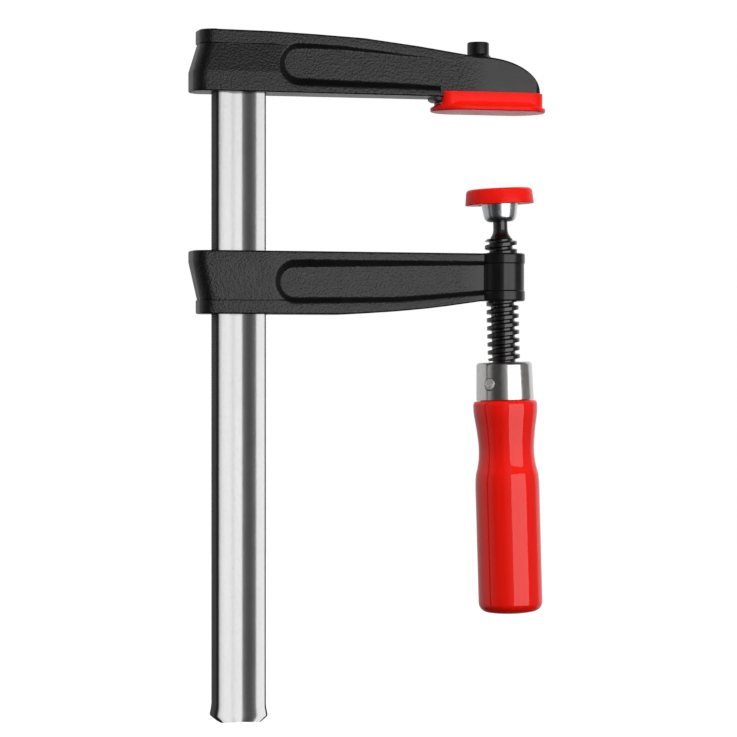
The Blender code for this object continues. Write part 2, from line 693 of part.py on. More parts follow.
def shell(name, material, start, end):
    """A zone of a hollow ball round the spindle's ball; angles are from the top."""
    steps = 6
    outer = arc(0.0, 0.0, SHELL_OUTER, 90.0 - start, 90.0 - end, steps)
    inner = arc(0.0, 0.0, SHELL_INNER, 90.0 - end, 90.0 - start, steps)
    return turned(name, outer + inner, material, closed=True, steps=24)


def make_ball_seat():
    return shell("ball_seat", SEAT_STEEL, 14.0, 58.0)


def make_ball_retainer():
    return shell("ball_retainer", RETAINER_STEEL, 98.0, 129.0)


def make_swivel_cup():
    mouth_angle = math.degrees(math.asin(CUP_MOUTH_RADIUS / SOCKET_RADIUS))
    socket = arc(0.0, 0.0, SOCKET_RADIUS, -90.0 + mouth_angle, 90.0, 12)
    socket[-1] = (0.0, SOCKET_RADIUS)
    top = PLATE_TOP + 0.6
    profile = [(0.0, top), (PLATE_RADIUS - 0.6, top), (PLATE_RADIUS, top - 0.6), (PLATE_RADIUS, PLATE_LOW + 0.4),
               (PLATE_RADIUS - 0.4, PLATE_LOW), (9.6, PLATE_LOW), (9.1, PLATE_LOW - 0.6), (8.95, 2.2),
               (8.7, 0.1), (8.35, -1.5), (7.85, -3.1), (7.2, -4.6), (6.5, CUP_BOTTOM)]
    return turned("swivel_cup", profile + socket, CUP_STEEL)


def make_swivel_cap():
    room = PLATE_RADIUS + GAP
    roof = PLATE_TOP + 0.6 + GAP
    lip = 9.05 + GAP
    profile = [(0.0, PAD_TOP), (PAD_TOP_RADIUS - 1.2, PAD_TOP), (PAD_TOP_RADIUS - 0.4, PAD_TOP - 0.4),
               (PAD_TOP_RADIUS, PAD_TOP - 1.2), (PAD_RADIUS, PAD_LOW + 0.6), (PAD_RADIUS - 0.5, PAD_LOW),
               (lip + 1.0, PAD_LOW), (lip + 1.0, PLATE_LOW - GAP), (room, PLATE_LOW - GAP), (room, roof),
               (0.0, roof)]
    return turned("swivel_cap", profile, RED_PLASTIC)


# ---------------------------------------------------------------- assembly

def build():
    arm_slide = add_empty("arm_slide_axis", (0.0, 0.0, (ARM_FACE_Z + ARM_BOTTOM_Z) / 2))
    spindle_axis = add_empty("spindle_axis", BALL_CENTRE, SPINDLE_LEAN)
    pad_axis = add_empty("pad_axis", BALL_CENTRE, PAD_TILT)
    bpy.context.view_layer.update()

    make_rail()
    make_fixed_jaw()
    make_fixed_jaw_cap()
    arm = make_sliding_arm(spindle_axis)
    arm.parent = arm_slide
    arm.matrix_parent_inverse = arm_slide.matrix_world.inverted()

    turning = make_spindle() + make_handle_ferrule() + make_handle() + make_handle_pin()
    for piece in turning + [make_ball_seat()]:
        piece.parent = spindle_axis
    for piece in (make_ball_retainer(), make_swivel_cup(), make_swivel_cap()):
        piece.parent = pad_axis
    bpy.context.view_layer.update()


build()
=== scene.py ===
"""The look of an F clamp with a black frame, red caps and a red wooden handle.

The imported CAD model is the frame. Every piece here is a finer mesh of one CAD
node, in the same place and on the same body, with its own procedural material.
Lengths are in millimetres and become metres when a mesh is stored.
"""

import math

import bmesh
import bpy
import numpy as np
from mathutils import Euler, Matrix, Vector


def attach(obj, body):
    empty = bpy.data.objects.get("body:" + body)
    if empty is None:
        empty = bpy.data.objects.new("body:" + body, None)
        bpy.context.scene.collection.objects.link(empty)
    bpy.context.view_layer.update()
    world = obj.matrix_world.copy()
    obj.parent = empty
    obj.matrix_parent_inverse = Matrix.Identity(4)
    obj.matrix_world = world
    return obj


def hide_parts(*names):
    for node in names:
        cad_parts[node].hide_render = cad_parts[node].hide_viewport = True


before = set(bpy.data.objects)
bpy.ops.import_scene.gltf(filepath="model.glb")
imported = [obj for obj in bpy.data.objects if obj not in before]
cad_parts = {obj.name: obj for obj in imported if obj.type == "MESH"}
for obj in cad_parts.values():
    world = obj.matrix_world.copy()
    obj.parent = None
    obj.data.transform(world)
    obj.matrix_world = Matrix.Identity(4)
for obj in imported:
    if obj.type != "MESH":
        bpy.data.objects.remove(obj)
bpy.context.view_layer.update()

MM = 0.001
MERGE = 0.00001     # merge distance in metres
GAP = 0.3           # clearance between neighbouring pieces

# Rail
RAIL_WIDTH = 25.0
RAIL_THICKNESS = 13.0
RAIL_LENGTH = 332.6
RAIL_CHAMFER = 1.6
GROOVE_HALF_WIDTH = 8.0
GROOVE_DEPTH = 1.8
END_BEVEL_WIDTH = 3.3
END_BEVEL_HEIGHT = 2.8
END_FLARE = 0.7
END_FLARE_TOP = 7.0
TOOTH_PITCH = 1.0
TOOTH_DEPTH = 0.42
TOOTH_START = 8.0
TOOTH = ((0.0, 0.0), (0.10, 0.0), (0.50, 1.0), (0.60, 1.0))

# Castings
CAST_HALF = 11.0
CAST_BACK_HALF = 9.9
NARROW_HALF = 9.4
PANEL_HALF = 7.0
HEEL_X = -23.7
HEEL_NARROW_X = -19.8
HEEL_STEP_X = -20.3
HEEL_RADIUS = 6.5
TAPER_START_X = 15.0
STEP_HEIGHT = 0.3
SLOT_CLEARANCE = 0.4
EDGE_RADIUS = 0.9
EDGE_STEPS = 5
WALL_SLOPE = 1.15
WALL_FILLET = 0.8
RIM_ROUNDING = 0.45

# Fixed jaw
JAW_FACE_Z = 303.3
JAW_STRIP_Z = 313.0
JAW_STEP_Z = 326.3
FOOT_Z = 299.0
FOOT_X = 107.6
TOP_FLANGE_END_X = 104.7
LOW_FLANGE_END_X = 99.6
NOSE_CENTRE_X = 118.0
NOSE_LENGTH = 33.9
NOSE_HEIGHT = 20.4
NOSE_FULLNESS = 2.2         # exponent of the nose's outline, 2 for an ellipse
NOSE_HALF = 7.65
NOSE_CORNER = 4.2
JAW_TOP = ((-30.0, 333.3), (12.8, 332.8), (35.6, 332.0), (61.0, 330.8), (89.0, 327.7), (118.0, 323.7))
JAW_RECESS_LOWER = ((28.5, 310.8), (48.0, 310.3), (83.0, 309.5), (100.0, 308.7), (116.0, 308.0))
JAW_RECESS_UPPER = ((28.5, 324.5), (48.0, 324.5), (64.5, 323.5), (83.0, 322.2), (100.0, 321.5),
                    (116.0, 321.3))
JAW_RECESS_LEFT = 21.7
NUB_X = 121.0
NUB_RADIUS = 5.4
NUB_TOP_Z = 331.2
STOP_RIB_X = (97.0, 105.6)
STOP_RIB_Z = 301.2
STOP_RIB_HALF = 6.5

# Cap on the fixed jaw
CAP_FACE_Z = 296.6
CAP_CENTRE_X = 126.0
CAP_HALF_LENGTH = 29.0
CAP_HALF_WIDTH = 15.0
CAP_SKIRT_X = (100.3, 153.1)
CAP_SKIRT_CORNERS = (4.5, 7.6)
CAP_SKIRT_HALF = 10.4
CAP_SKIRT_TOP_Z = 306.1

# Sliding arm
ARM_FACE_Z = 227.0
ARM_STRIP_Z = 221.5
ARM_STEP_Z = 203.3
ARM_BOTTOM_Z = 196.5
ARM_BOTTOM = ((-30.0, 196.5), (50.0, 196.5), (63.0, 197.2), (78.0, 198.2), (93.0, 199.6), (103.5, 200.9),
              (122.6, 203.6), (140.0, 203.6))
ARM_RECESS_LOWER = ((26.5, 204.9), (76.8, 205.4), (92.0, 206.5), (127.0, 209.4))
ARM_RECESS_UPPER = ((26.5, 218.8), (127.0, 220.86))
ARM_RECESS_LEFT = 19.5
TAPER_END_X = 123.0         # where the arm's sides stop getting thinner
SIDE_END_X = 131.0          # where they end, inside the boss
ARM_THINNING = 3.8          # how much thinner each side is at the boss than at the rail
PANEL_THINNING = 3.2        # the same for the floor of the recess
BOSS_X = 133.5
BOSS_RADIUS = 10.8
BOSS_RIM_RADIUS = 11.2
BOSS_TOP_Z = 227.2
BOSS_BOTTOM_Z = 203.6
BOSS_RIM = 5.0
BOSS_FILLET = 2.4
PEEL_FADE_X = (110.7, 124.7)     # the paint turns smooth between these, on jaw and arm
BORE_RADIUS = 8.3

# Spindle: heights along its own axis are measured from the ball's centre
BALL_CENTRE = Vector((132.25, 0.0, 248.5))
SPINDLE_LEAN = math.radians(1.63)
BALL_RADIUS = 6.0
NECK_RADIUS = 3.55
THREAD_PITCH = 4.0
THREAD_RADIUS = 8.0
THREAD_ROOT_RADIUS = 5.8
THREAD_TOP = -14.0
THREAD_BOTTOM = -74.4
THREAD_STEPS = 72
TANG_RADIUS = 5.7
TANG_END = -128.0
PIN_HEIGHT = -85.8
PIN_RADIUS = 3.0
PIN_HALF_LENGTH = 14.4
PIN_CLEARANCE = 0.08
PIN_CORE_DEPTH = 0.15
PIN_SHEET = 0.62
PIN_SPACE = 0.12
PIN_TURNS = 2.0
PIN_BEARING = math.radians(50.0)

# Handle and ferrule
FERRULE_TOP = -75.0
FERRULE_BOTTOM = -93.7
FERRULE_TOP_RADIUS = 13.7
FERRULE_BOTTOM_RADIUS = 14.25
FERRULE_WALL = 1.2
HANDLE_RADIUS = 15.85
HANDLE_WAIST_RADIUS = 13.8
HANDLE_END = -199.6

# Swivel pad
PAD_TILT = math.radians(2.8)
SOCKET_RADIUS = 7.6
CUP_MOUTH_RADIUS = 5.4
CUP_BOTTOM = -5.6
PLATE_RADIUS = 14.2
PLATE_LOW = 4.2
PLATE_TOP = 8.6
PAD_LOW = 2.9
PAD_TOP = 10.6
PAD_RADIUS = 17.0
PAD_TOP_RADIUS = 16.2

# Camera and light
CAMERA_PLACE = (-0.3144, -1.4159, 0.1676)
CAMERA_BEARING = math.radians(-15.0)
CAMERA_LENS = 146.5
CAMERA_SHIFT = 0.0075
AIM = Vector((0.06, 0.0, 0.19))
FLOOR_Z = -165.0            # clear of the handle with the arm run right down
FLOOR_HALF = 4000.0

# Brightness of the surroundings: (degrees round from the camera's side, level), (degrees up, level)
ROUND_ABOUT = ((-165.0, 0.6), (-97.0, 0.6), (-70.0, 0.42), (-50.0, 0.08), (-20.0, 0.06),
               (13.0, 0.42), (20.0, 0.25), (70.0, 0.20), (115.0, 0.22), (122.0, 0.85), (194.0, 0.9))
UP_AND_DOWN = ((-90.0, 0.03), (-32.0, 0.15), (-24.0, 0.6), (-2.0, 1.0), (25.0, 1.0), (50.0, 0.4),
               (90.0, 0.08))


# ---------------------------------------------------------------- mesh tools

def new_piece(name, points, faces):
    """An object from points in millimetres, welded, with its faces turned outwards."""
    mesh = bpy.data.meshes.new(name)
    mesh.from_pydata((np.asarray(points) * MM).tolist(), [], faces)
    bm = bmesh.new()
    bm.from_mesh(mesh)
    bmesh.ops.remove_doubles(bm, verts=bm.verts, dist=MERGE)
    bmesh.ops.dissolve_degenerate(bm, edges=bm.edges, dist=MERGE * 0.1)
    bmesh.ops.recalc_face_normals(bm, faces=bm.faces)
    bm.to_mesh(mesh)
    bm.free()
    obj = bpy.data.objects.new(name, mesh)
    bpy.context.scene.collection.objects.link(obj)
    return obj


def grid_faces(rows, columns, wrap_rows=False):
    """Quads between neighbouring rows of points, each row closed on itself."""
    row_count = rows if wrap_rows else rows - 1
    row, column = np.meshgrid(np.arange(row_count), np.arange(columns), indexing="ij")
    after = (column + 1) % columns
    above = (row + 1) % rows
    quads = np.stack([row * columns + column, row * columns + after, above * columns + after,
                      above * columns + column], axis=-1)
    return quads.reshape(-1, 4).tolist()


def mirrored_cap(first, count):
    """Quads across a ring whose second half mirrors its first."""
    faces = []
    for i in range(count // 2 - 1):
        faces.append([first + i, first + i + 1, first + count - 2 - i, first + count - 1 - i])
    return faces


def ring_solid(name, rings, mirrored=False):
    """A closed solid through rings of matching points, each end closed flat or side to side."""
    rings = np.asarray(rings, dtype=float)
    rows, columns, _ = rings.shape
    faces = grid_faces(rows, columns)
    last = (rows - 1) * columns
    if mirrored:
        faces += mirrored_cap(0, columns) + mirrored_cap(last, columns)
    else:
        faces += [list(range(columns)), list(range(last, last + columns))]
    return new_piece(name, rings.reshape(-1, 3), faces)


def turned(name, profile, closed=False, steps=96):
    """Turn (radius, height) points about Z."""
    radius, height = np.asarray(profile, dtype=float).T
    angle = 2 * np.pi * np.arange(steps) / steps
    rings = np.stack([radius[:, None] * np.cos(angle), radius[:, None] * np.sin(angle),
                      np.repeat(height[:, None], steps, axis=1)], axis=-1)
    return new_piece(name, rings.reshape(-1, 3), grid_faces(len(profile), steps, closed))


def softened(corners, steps=5):
    """A profile through (radius, height, rounding) corners, each rounded by its own radius."""
    points = [Vector(corner[:2]) for corner in corners]
    profile = []
    for i, (corner, point) in enumerate(zip(corners, points)):
        rounding = corner[2]
        if rounding == 0 or i in (0, len(points) - 1):
            profile.append(tuple(point))
            continue
        back = (points[i - 1] - point).normalized()
        on = (points[i + 1] - point).normalized()
        half = back.angle(on) / 2
        reach = rounding / math.tan(half)
        start = point + back * reach
        end = point + on * reach
        centre = point + (back + on).normalized() * rounding / math.sin(half)
        for step in range(steps + 1):
            toward = (start - centre).normalized().slerp((end - centre).normalized(), step / steps)
            profile.append(tuple(centre + toward * rounding))
    return profile


def arc(centre_r, centre_z, radius, start, end, count):
    """Points on an arc in the (radius, height) plane; angles in degrees from +radius."""
    angles = np.radians(np.linspace(start, end, count + 1))
    return [(centre_r + radius * math.cos(angle), centre_z + radius * math.sin(angle)) for angle in angles]


def smooth_through(points, count):
    """A Catmull-Rom curve through 2D points, with count steps between each pair."""
    padded = [points[0]] + list(points) + [points[-1]]
    curve = []
    for i in range(1, len(padded) - 2):
        p0, p1, p2, p3 = (Vector(p) for p in padded[i - 1:i + 3])
        for step in range(count):
            t = step / count
            point = 0.5 * (2 * p1 + (p2 - p0) * t + (2 * p0 - 5 * p1 + 4 * p2 - p3) * t ** 2
                           + (3 * p1 - p0 - 3 * p2 + p3) * t ** 3)
            curve.append(tuple(point))
    curve.append(tuple(points[-1]))
    return curve


def box_solid(name, low, high):
    """A box from its low corner to its high corner."""
    rings = [[(low[0], low[1], z), (high[0], low[1], z), (high[0], high[1], z), (low[0], high[1], z)]
             for z in (low[2], high[2])]
    return ring_solid(name, rings)


def carve(piece, operation, *tools):
    """Cuts the tools out of a piece, or joins them to it, and keeps the result as its mesh."""
    for tool in tools:
        modifier = piece.modifiers.new(tool.name, "BOOLEAN")
        modifier.operation = operation
        modifier.solver = "EXACT"
        modifier.object = tool
    bpy.context.view_layer.update()
    evaluated = piece.evaluated_get(bpy.context.evaluated_depsgraph_get())
    result = bpy.data.meshes.new_from_object(evaluated)
    piece.modifiers.clear()
    piece.data = result
    for tool in tools:
        bpy.data.objects.remove(tool, do_unlink=True)
    return piece


def merge(piece, *others):
    """Adds the other pieces' meshes to the piece's own."""
    bm = bmesh.new()
    bm.from_mesh(piece.data)
    for other in others:
        bm.from_mesh(other.data)
        bpy.data.objects.remove(other, do_unlink=True)
    bm.to_mesh(piece.data)
    bm.free()
    return piece


def place_on(axis_lean, *pieces):
    """Stands pieces on the ball's centre, leaning towards -X."""
    matrix = Matrix.Translation(BALL_CENTRE * MM) @ Euler((0.0, -axis_lean, 0.0)).to_matrix().to_4x4()
    for piece in pieces:
        piece.matrix_world = matrix


def finish_piece(piece, body, node, material, crease=32.0):
    """Shades a piece, gives it its material and puts it on its body for its CAD node."""
    mesh = piece.data
    mesh.materials.clear()
    mesh.materials.append(material)
    mesh.polygons.foreach_set("use_smooth", [True] * len(mesh.polygons))
    mesh.set_sharp_from_angle(angle=math.radians(crease))
    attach(piece, body)
    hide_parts(node)


# ---------------------------------------------------------------- materials

class Surface:
    """A Principled material whose texture nodes are added one call at a time."""

    def __init__(self, name, **settings):
        self.material = bpy.data.materials.new(name)
        self.material.use_nodes = True
        self.nodes = self.material.node_tree.nodes
        self.links = self.material.node_tree.links
        self.shader = self.nodes["Principled BSDF"]
        self.place = self.nodes.new("ShaderNodeTexCoord").outputs
        self.normal = None
        for socket, value in settings.items():
            self.shader.inputs[socket.replace("_", " ")].default_value = value

    def noise(self, size, stretch=(1.0, 1.0, 1.0), detail=2.0, roughness=0.5, distortion=0.0):
        """Noise whose grains are about size millimetres wide, drawn out by stretch."""
        mapping = self.nodes.new("ShaderNodeMapping")
        mapping.inputs["Scale"].default_value = [1.0 / (size * MM * ratio) for ratio in stretch]
        self.links.new(self.place["Object"], mapping.inputs["Vector"])
        texture = self.nodes.new("ShaderNodeTexNoise")
        texture.inputs["Scale"].default_value = 1.0
        texture.inputs["Detail"].default_value = detail
        texture.inputs["Roughness"].default_value = roughness
        texture.inputs["Distortion"].default_value = distortion
        self.links.new(mapping.outputs["Vector"], texture.inputs["Vector"])
        return texture.outputs["Fac"]

    def spread(self, value, low, high, start=0.3, end=0.7):
        """Takes value from start to end, and gives low to high."""
        node = self.nodes.new("ShaderNodeMapRange")
        node.inputs["From Min"].default_value = start
        node.inputs["From Max"].default_value = end
        node.inputs["To Min"].default_value = low
        node.inputs["To Max"].default_value = high
        self.links.new(value, node.inputs["Value"])
        return node.outputs["Result"]

    def combine(self, operation, first, second):
        """A Math node over two values, each a socket or a number."""
        node = self.nodes.new("ShaderNodeMath")
        node.operation = operation
        for socket, value in zip(node.inputs, (first, second)):
            if isinstance(value, (int, float)):
                socket.default_value = value
            else:
                self.links.new(value, socket)
        return node.outputs["Value"]

    def edges(self, start, end):
        """0 on flat ground, up to 1 on the mesh's sharpest outer edges."""
        geometry = self.nodes.new("ShaderNodeNewGeometry")
        return self.spread(geometry.outputs["Pointiness"], 0.0, 1.0, start, end)

    def part(self, kind, axis):
        """One component of the piece's own Object or Normal coordinates."""
        parts = self.nodes.new("ShaderNodeSeparateXYZ")
        self.links.new(self.place[kind], parts.inputs[0])
        return parts.outputs[axis]

    def facing_along(self, axis, limit):
        """1 where the surface leans more than limit towards one of the piece's own axes, either way."""
        return self.combine("GREATER_THAN", self.combine("ABSOLUTE", self.part("Normal", axis), 0.0), limit)

    def beyond(self, axis, start, end):
        """0 up to start and 1 past end, in mm along one of the piece's own axes."""
        return self.spread(self.part("Object", axis), 0.0, 1.0, start * MM, end * MM)

    def shade(self, value, low, high, start=0.3, end=0.7):
        """Colours the surface from low to high along value."""
        ramp = self.nodes.new("ShaderNodeValToRGB")
        ramp.color_ramp.elements[0].position = start
        ramp.color_ramp.elements[0].color = (*low, 1.0)
        ramp.color_ramp.elements[1].position = end
        ramp.color_ramp.elements[1].color = (*high, 1.0)
        self.links.new(value, ramp.inputs["Fac"])
        return ramp.outputs["Color"]

    def blend(self, share, first, second):
        """Mixes two colours, each a socket or a tuple, from first to second by share."""
        mix = self.nodes.new("ShaderNodeMix")
        mix.data_type = "RGBA"
        self.links.new(share, mix.inputs["Factor"])
        colour_a, colour_b = [socket for socket in mix.inputs if socket.type == "RGBA"]
        for socket, value in ((colour_a, first), (colour_b, second)):
            if isinstance(value, tuple):
                socket.default_value = (*value, 1.0)
            else:
                self.links.new(value, socket)
        return [socket for socket in mix.outputs if socket.type == "RGBA"][0]

    def bump(self, height, depth):
        """Raises the surface by height times depth millimetres, over any earlier bump."""
        node = self.nodes.new("ShaderNodeBump")
        node.inputs["Strength"].default_value = 1.0
        node.inputs["Distance"].default_value = depth * MM
        self.links.new(height, node.inputs["Height"])
        if self.normal:
            self.links.new(self.normal, node.inputs["Normal"])
        self.normal = node.outputs["Normal"]
        self.links.new(self.normal, self.shader.inputs["Normal"])

    def feed(self, socket, value):
        self.links.new(value, self.shader.inputs[socket])


def cast_black():
    """Stoved black paint over rough cast iron."""
    surface = Surface("cast_black", Specular_IOR_Level=0.5)
    peel = surface.noise(1.0, detail=1.5)
    pits = surface.noise(0.3, detail=2.0)
    broad = surface.noise(9.0, detail=3.0)
    smooth = surface.beyond("X", *PEEL_FADE_X)
    rough = surface.combine("SUBTRACT", 1.0, smooth)
    surface.feed("Roughness", surface.combine("ADD", surface.spread(broad, 0.22, 0.28),
                                              surface.combine("MULTIPLY", rough, 0.10)))
    paint = surface.shade(broad, (0.006, 0.006, 0.007), (0.010, 0.010, 0.011))
    edge = surface.edges(0.54, 0.64)
    surface.feed("Base Color", surface.blend(edge, paint, (0.030, 0.029, 0.029)))
    surface.bump(surface.combine("MULTIPLY", peel, rough), 0.30)
    surface.bump(pits, 0.015)
    return surface.material


def blackened_steel():
    """The rolled thread: blackened, a little oily, brighter where it rubs."""
    surface = Surface("blackened_steel", Specular_IOR_Level=0.9)
    scale = surface.noise(1.2, detail=3.0)
    grain = surface.noise(0.3, detail=2.0)
    surface.feed("Roughness", surface.spread(scale, 0.15, 0.19))
    black = surface.shade(scale, (0.005, 0.005, 0.005), (0.007, 0.007, 0.007))
    rubbed = surface.edges(0.56, 0.70)
    surface.feed("Base Color", surface.blend(rubbed, black, (0.03, 0.03, 0.03)))
    surface.bump(grain, 0.0012)
    return surface.material


def plated_rail():
    """Drawn steel bar, zinc plated: fine lines along it and a cloudy bloom, with painted shade on its toothed
    narrow faces.
    """
    surface = Surface("plated_rail", Metallic=1.0, Anisotropic=0.3)
    lines = surface.noise(0.16, stretch=(1.0, 1.0, 120.0), detail=3.0)
    cloud = surface.noise(7.0, stretch=(1.0, 1.0, 3.0), detail=4.0, roughness=0.6)
    speck = surface.noise(0.9, stretch=(1.0, 1.0, 2.0), detail=3.0)
    rough = surface.combine("ADD", surface.spread(lines, 0.0, 0.04), surface.spread(cloud, 0.17, 0.22))
    toothed = surface.facing_along("X", 0.35)
    surface.feed("Roughness", surface.combine("ADD", rough, surface.combine("MULTIPLY", toothed, 0.35)))
    bright = surface.shade(cloud, (0.37, 0.375, 0.37), (0.41, 0.41, 0.41))
    dull = surface.spread(speck, 0.0, 0.3, 0.5, 0.75)
    drawn = surface.blend(dull, bright, (0.32, 0.32, 0.32))
    # Painted shade: the toothed narrow faces are coloured near black for the dark their teeth show under this
    # light.
    surface.feed("Base Color", surface.blend(toothed, drawn, (0.03, 0.03, 0.03)))
    surface.feed("Metallic", surface.spread(toothed, 1.0, 0.3, 0.0, 1.0))
    surface.bump(lines, 0.0012)
    surface.bump(speck, 0.0018)
    return surface.material


def polished_steel():
    """The ferrule: bright drawn tube with faint lines and small marks."""
    surface = Surface("polished_steel", Metallic=1.0)
    lines = surface.noise(0.12, stretch=(1.0, 1.0, 60.0), detail=2.0)
    marks = surface.noise(2.5, detail=4.0, roughness=0.65)
    surface.feed("Roughness", surface.spread(marks, 0.15, 0.22))
    surface.feed("Base Color", surface.shade(marks, (0.62, 0.61, 0.60), (0.72, 0.71, 0.70)))
    surface.bump(lines, 0.0004)
    surface.bump(marks, 0.004)
    return surface.material


def spring_steel():
    """The rolled pin: bright face with a dull, bruised middle."""
    surface = Surface("spring_steel", Metallic=0.2)
    bruise = surface.noise(0.7, detail=4.0, roughness=0.7)
    surface.feed("Roughness", surface.spread(bruise, 0.22, 0.42))
    surface.feed("Base Color", surface.shade(bruise, (0.45, 0.45, 0.46), (1.0, 1.0, 1.0), 0.35, 0.5))
    surface.bump(bruise, 0.03)
    return surface.material


def dull_steel(name, dark, light, cloud, gloss, depth):
    """Pressed steel with clouds in its colour and gloss, cloud millimetres wide."""
    surface = Surface(name, Metallic=1.0)
    clouds = surface.noise(cloud, detail=4.0, roughness=0.6)
    grain = surface.noise(0.25, detail=2.0)
    surface.feed("Roughness", surface.spread(clouds, *gloss))
    surface.feed("Base Color", surface.shade(clouds, dark, light))
    surface.bump(grain, depth)
    return surface.material


def moulded_red():
    """The caps: glossy moulded plastic with slight flow and a fine skin."""
    surface = Surface("moulded_red", Specular_IOR_Level=0.15)
    flow = surface.noise(9.0, detail=3.0)
    skin = surface.noise(0.35, detail=2.0)
    surface.feed("Roughness", surface.spread(flow, 0.26, 0.34))
    surface.feed("Base Color", surface.shade(flow, (0.84, 0.009, 0.004), (0.90, 0.012, 0.006)))
    surface.bump(skin, 0.0025)
    return surface.material


def lacquered_red():
    """The handle: red lacquer over turned wood, its grain just showing through."""
    surface = Surface("lacquered_red", Specular_IOR_Level=0.0, Coat_Weight=0.9, Coat_Roughness=0.05)
    grain = surface.noise(1.1, stretch=(1.0, 1.0, 40.0), detail=4.0, roughness=0.6, distortion=0.4)
    pores = surface.noise(0.3, stretch=(1.0, 1.0, 14.0), detail=2.0)
    wave = surface.noise(5.0, stretch=(1.0, 1.0, 3.0), detail=1.0)
    surface.feed("Roughness", surface.spread(grain, 0.34, 0.46))
    red = surface.shade(grain, (0.86, 0.008, 0.003), (0.92, 0.010, 0.004), 0.35, 0.6)
    deep = surface.spread(pores, 0.0, 0.10, 0.62, 0.75)
    surface.feed("Base Color", surface.blend(deep, red, (0.60, 0.003, 0.002)))
    surface.bump(wave, 0.010)
    surface.bump(pores, 0.0012)
    return surface.material


def pale_floor():
    """A plain pale floor that stays near white under the studio light."""
    surface = Surface("pale_floor", Roughness=0.9)
    weave = surface.noise(60.0, detail=2.0)
    surface.feed("Base Color", surface.shade(weave, (0.80, 0.80, 0.80), (0.83, 0.83, 0.83)))
    surface.shader.inputs["Emission Color"].default_value = (1.0, 1.0, 1.0, 1.0)
    surface.shader.inputs["Emission Strength"].default_value = 0.85
    return surface.material


# ---------------------------------------------------------------- rail

def rail_section(grow, edge):
    """The rail's outline in XY, with a groove on both wide faces and edges set in by edge."""
    half_x = RAIL_WIDTH / 2 + grow
    half_y = RAIL_THICKNESS / 2 + grow
    side = [(-half_x + max(edge, RAIL_CHAMFER * (1 - math.cos(turn))),
             -half_y + RAIL_CHAMFER * (1 - math.sin(turn)))
            for turn in np.radians((0.0, 22.5, 45.0, 67.5, 90.0))]
    for x in np.linspace(-GROOVE_HALF_WIDTH, GROOVE_HALF_WIDTH, 23):
        depth = GROOVE_DEPTH * 0.5 * (1 + math.cos(math.pi * x / GROOVE_HALF_WIDTH))
        side.append((x, -half_y + depth))
    side += [(-x, y) for x, y in side[4::-1]]
    return np.array(side + [(-x, -y) for x, y in side])


def make_rail():
    """The bar, its lower end flared and bevelled, its narrow faces cut with teeth."""
    narrow = 1 - 2 * (END_BEVEL_WIDTH - END_FLARE) / RAIL_WIDTH
    wide = 1 + 2 * END_FLARE / RAIL_WIDTH
    stations = [(0.0, narrow, 0.0), (END_BEVEL_HEIGHT - 0.3, wide - 0.02, 0.0),
                (END_BEVEL_HEIGHT + 0.3, wide, 0.0), (END_FLARE_TOP / 2, wide, 0.0),
                (END_FLARE_TOP - 1.0, 1.0 + (wide - 1.0) * 0.3, 0.0), (END_FLARE_TOP, 1.0, 0.0)]
    z = TOOTH_START
    while z < RAIL_LENGTH - TOOTH_PITCH:
        stations += [(z + share * TOOTH_PITCH, 1.0, depth * TOOTH_DEPTH) for share, depth in TOOTH]
        z += TOOTH_PITCH
    stations.append((RAIL_LENGTH, 1.0, 0.0))
    rings = []
    for z, width, depth in stations:
        section = rail_section(0.0, depth)
        rings.append(np.column_stack([section[:, 0] * width, section[:, 1], np.full(len(section), z)]))
    return ring_solid("bar", rings)


def rail_slot(name, clearance, low, high):
    """A cutter with the rail's section, for the castings."""
    section = rail_section(clearance, 0.0)
    return ring_solid(name, [np.column_stack([section, np.full(len(section), z)]) for z in (low, high)])


# ---------------------------------------------------------------- castings

def rounded_min(a, b, radius):
    return (a + b - np.sqrt((a - b) ** 2 + radius ** 2)) / 2


def rounded_max(a, b, radius):
    return (a + b + np.sqrt((a - b) ** 2 + radius ** 2)) / 2


def recess_outline(left, lower, upper):
    """The recess floor's outline: lower edge left to right, upper edge back, round left end."""
    radius = (upper[0][1] - lower[0][1]) / 2
    middle = lower[0][1] + radius
    outline = list(lower) + list(upper[::-1])
    for angle in np.radians(np.linspace(90, 270, 17)[1:-1]):
        outline.append((left + radius + radius * math.cos(angle), middle + radius * math.sin(angle)))
    return np.array(outline)


def distance_outside(x, z, outline):
    """How far each point is outside a closed outline, and 0 inside it."""
    nearest = np.full(x.shape, np.inf)
    inside = np.zeros(x.shape, dtype=bool)
    for start, end in zip(outline, np.roll(outline, -1, axis=0)):
        run = end - start
        share = ((x - start[0]) * run[0] + (z - start[1]) * run[1]) / (run @ run)
        share = np.clip(share, 0.0, 1.0)
        away = np.hypot(x - start[0] - share * run[0], z - start[1] - share * run[1])
        nearest = np.minimum(nearest, away)
        if run[1] != 0:
            crosses = (start[1] > z) != (end[1] > z)
            inside ^= crosses & (x < start[0] + (z - start[1]) * run[0] / run[1])
    return np.where(inside, 0.0, nearest)


def recessed(side, floor, away):
    """A side surface with a recess in it: walls rise from the floor, rounded at foot and rim."""
    wall = floor + WALL_SLOPE * (np.sqrt(away ** 2 + WALL_FILLET ** 2) - WALL_FILLET)
    rounding = np.clip(0.6 * (side - floor), 0.02, RIM_ROUNDING)
    return rounded_min(side, wall, rounding)


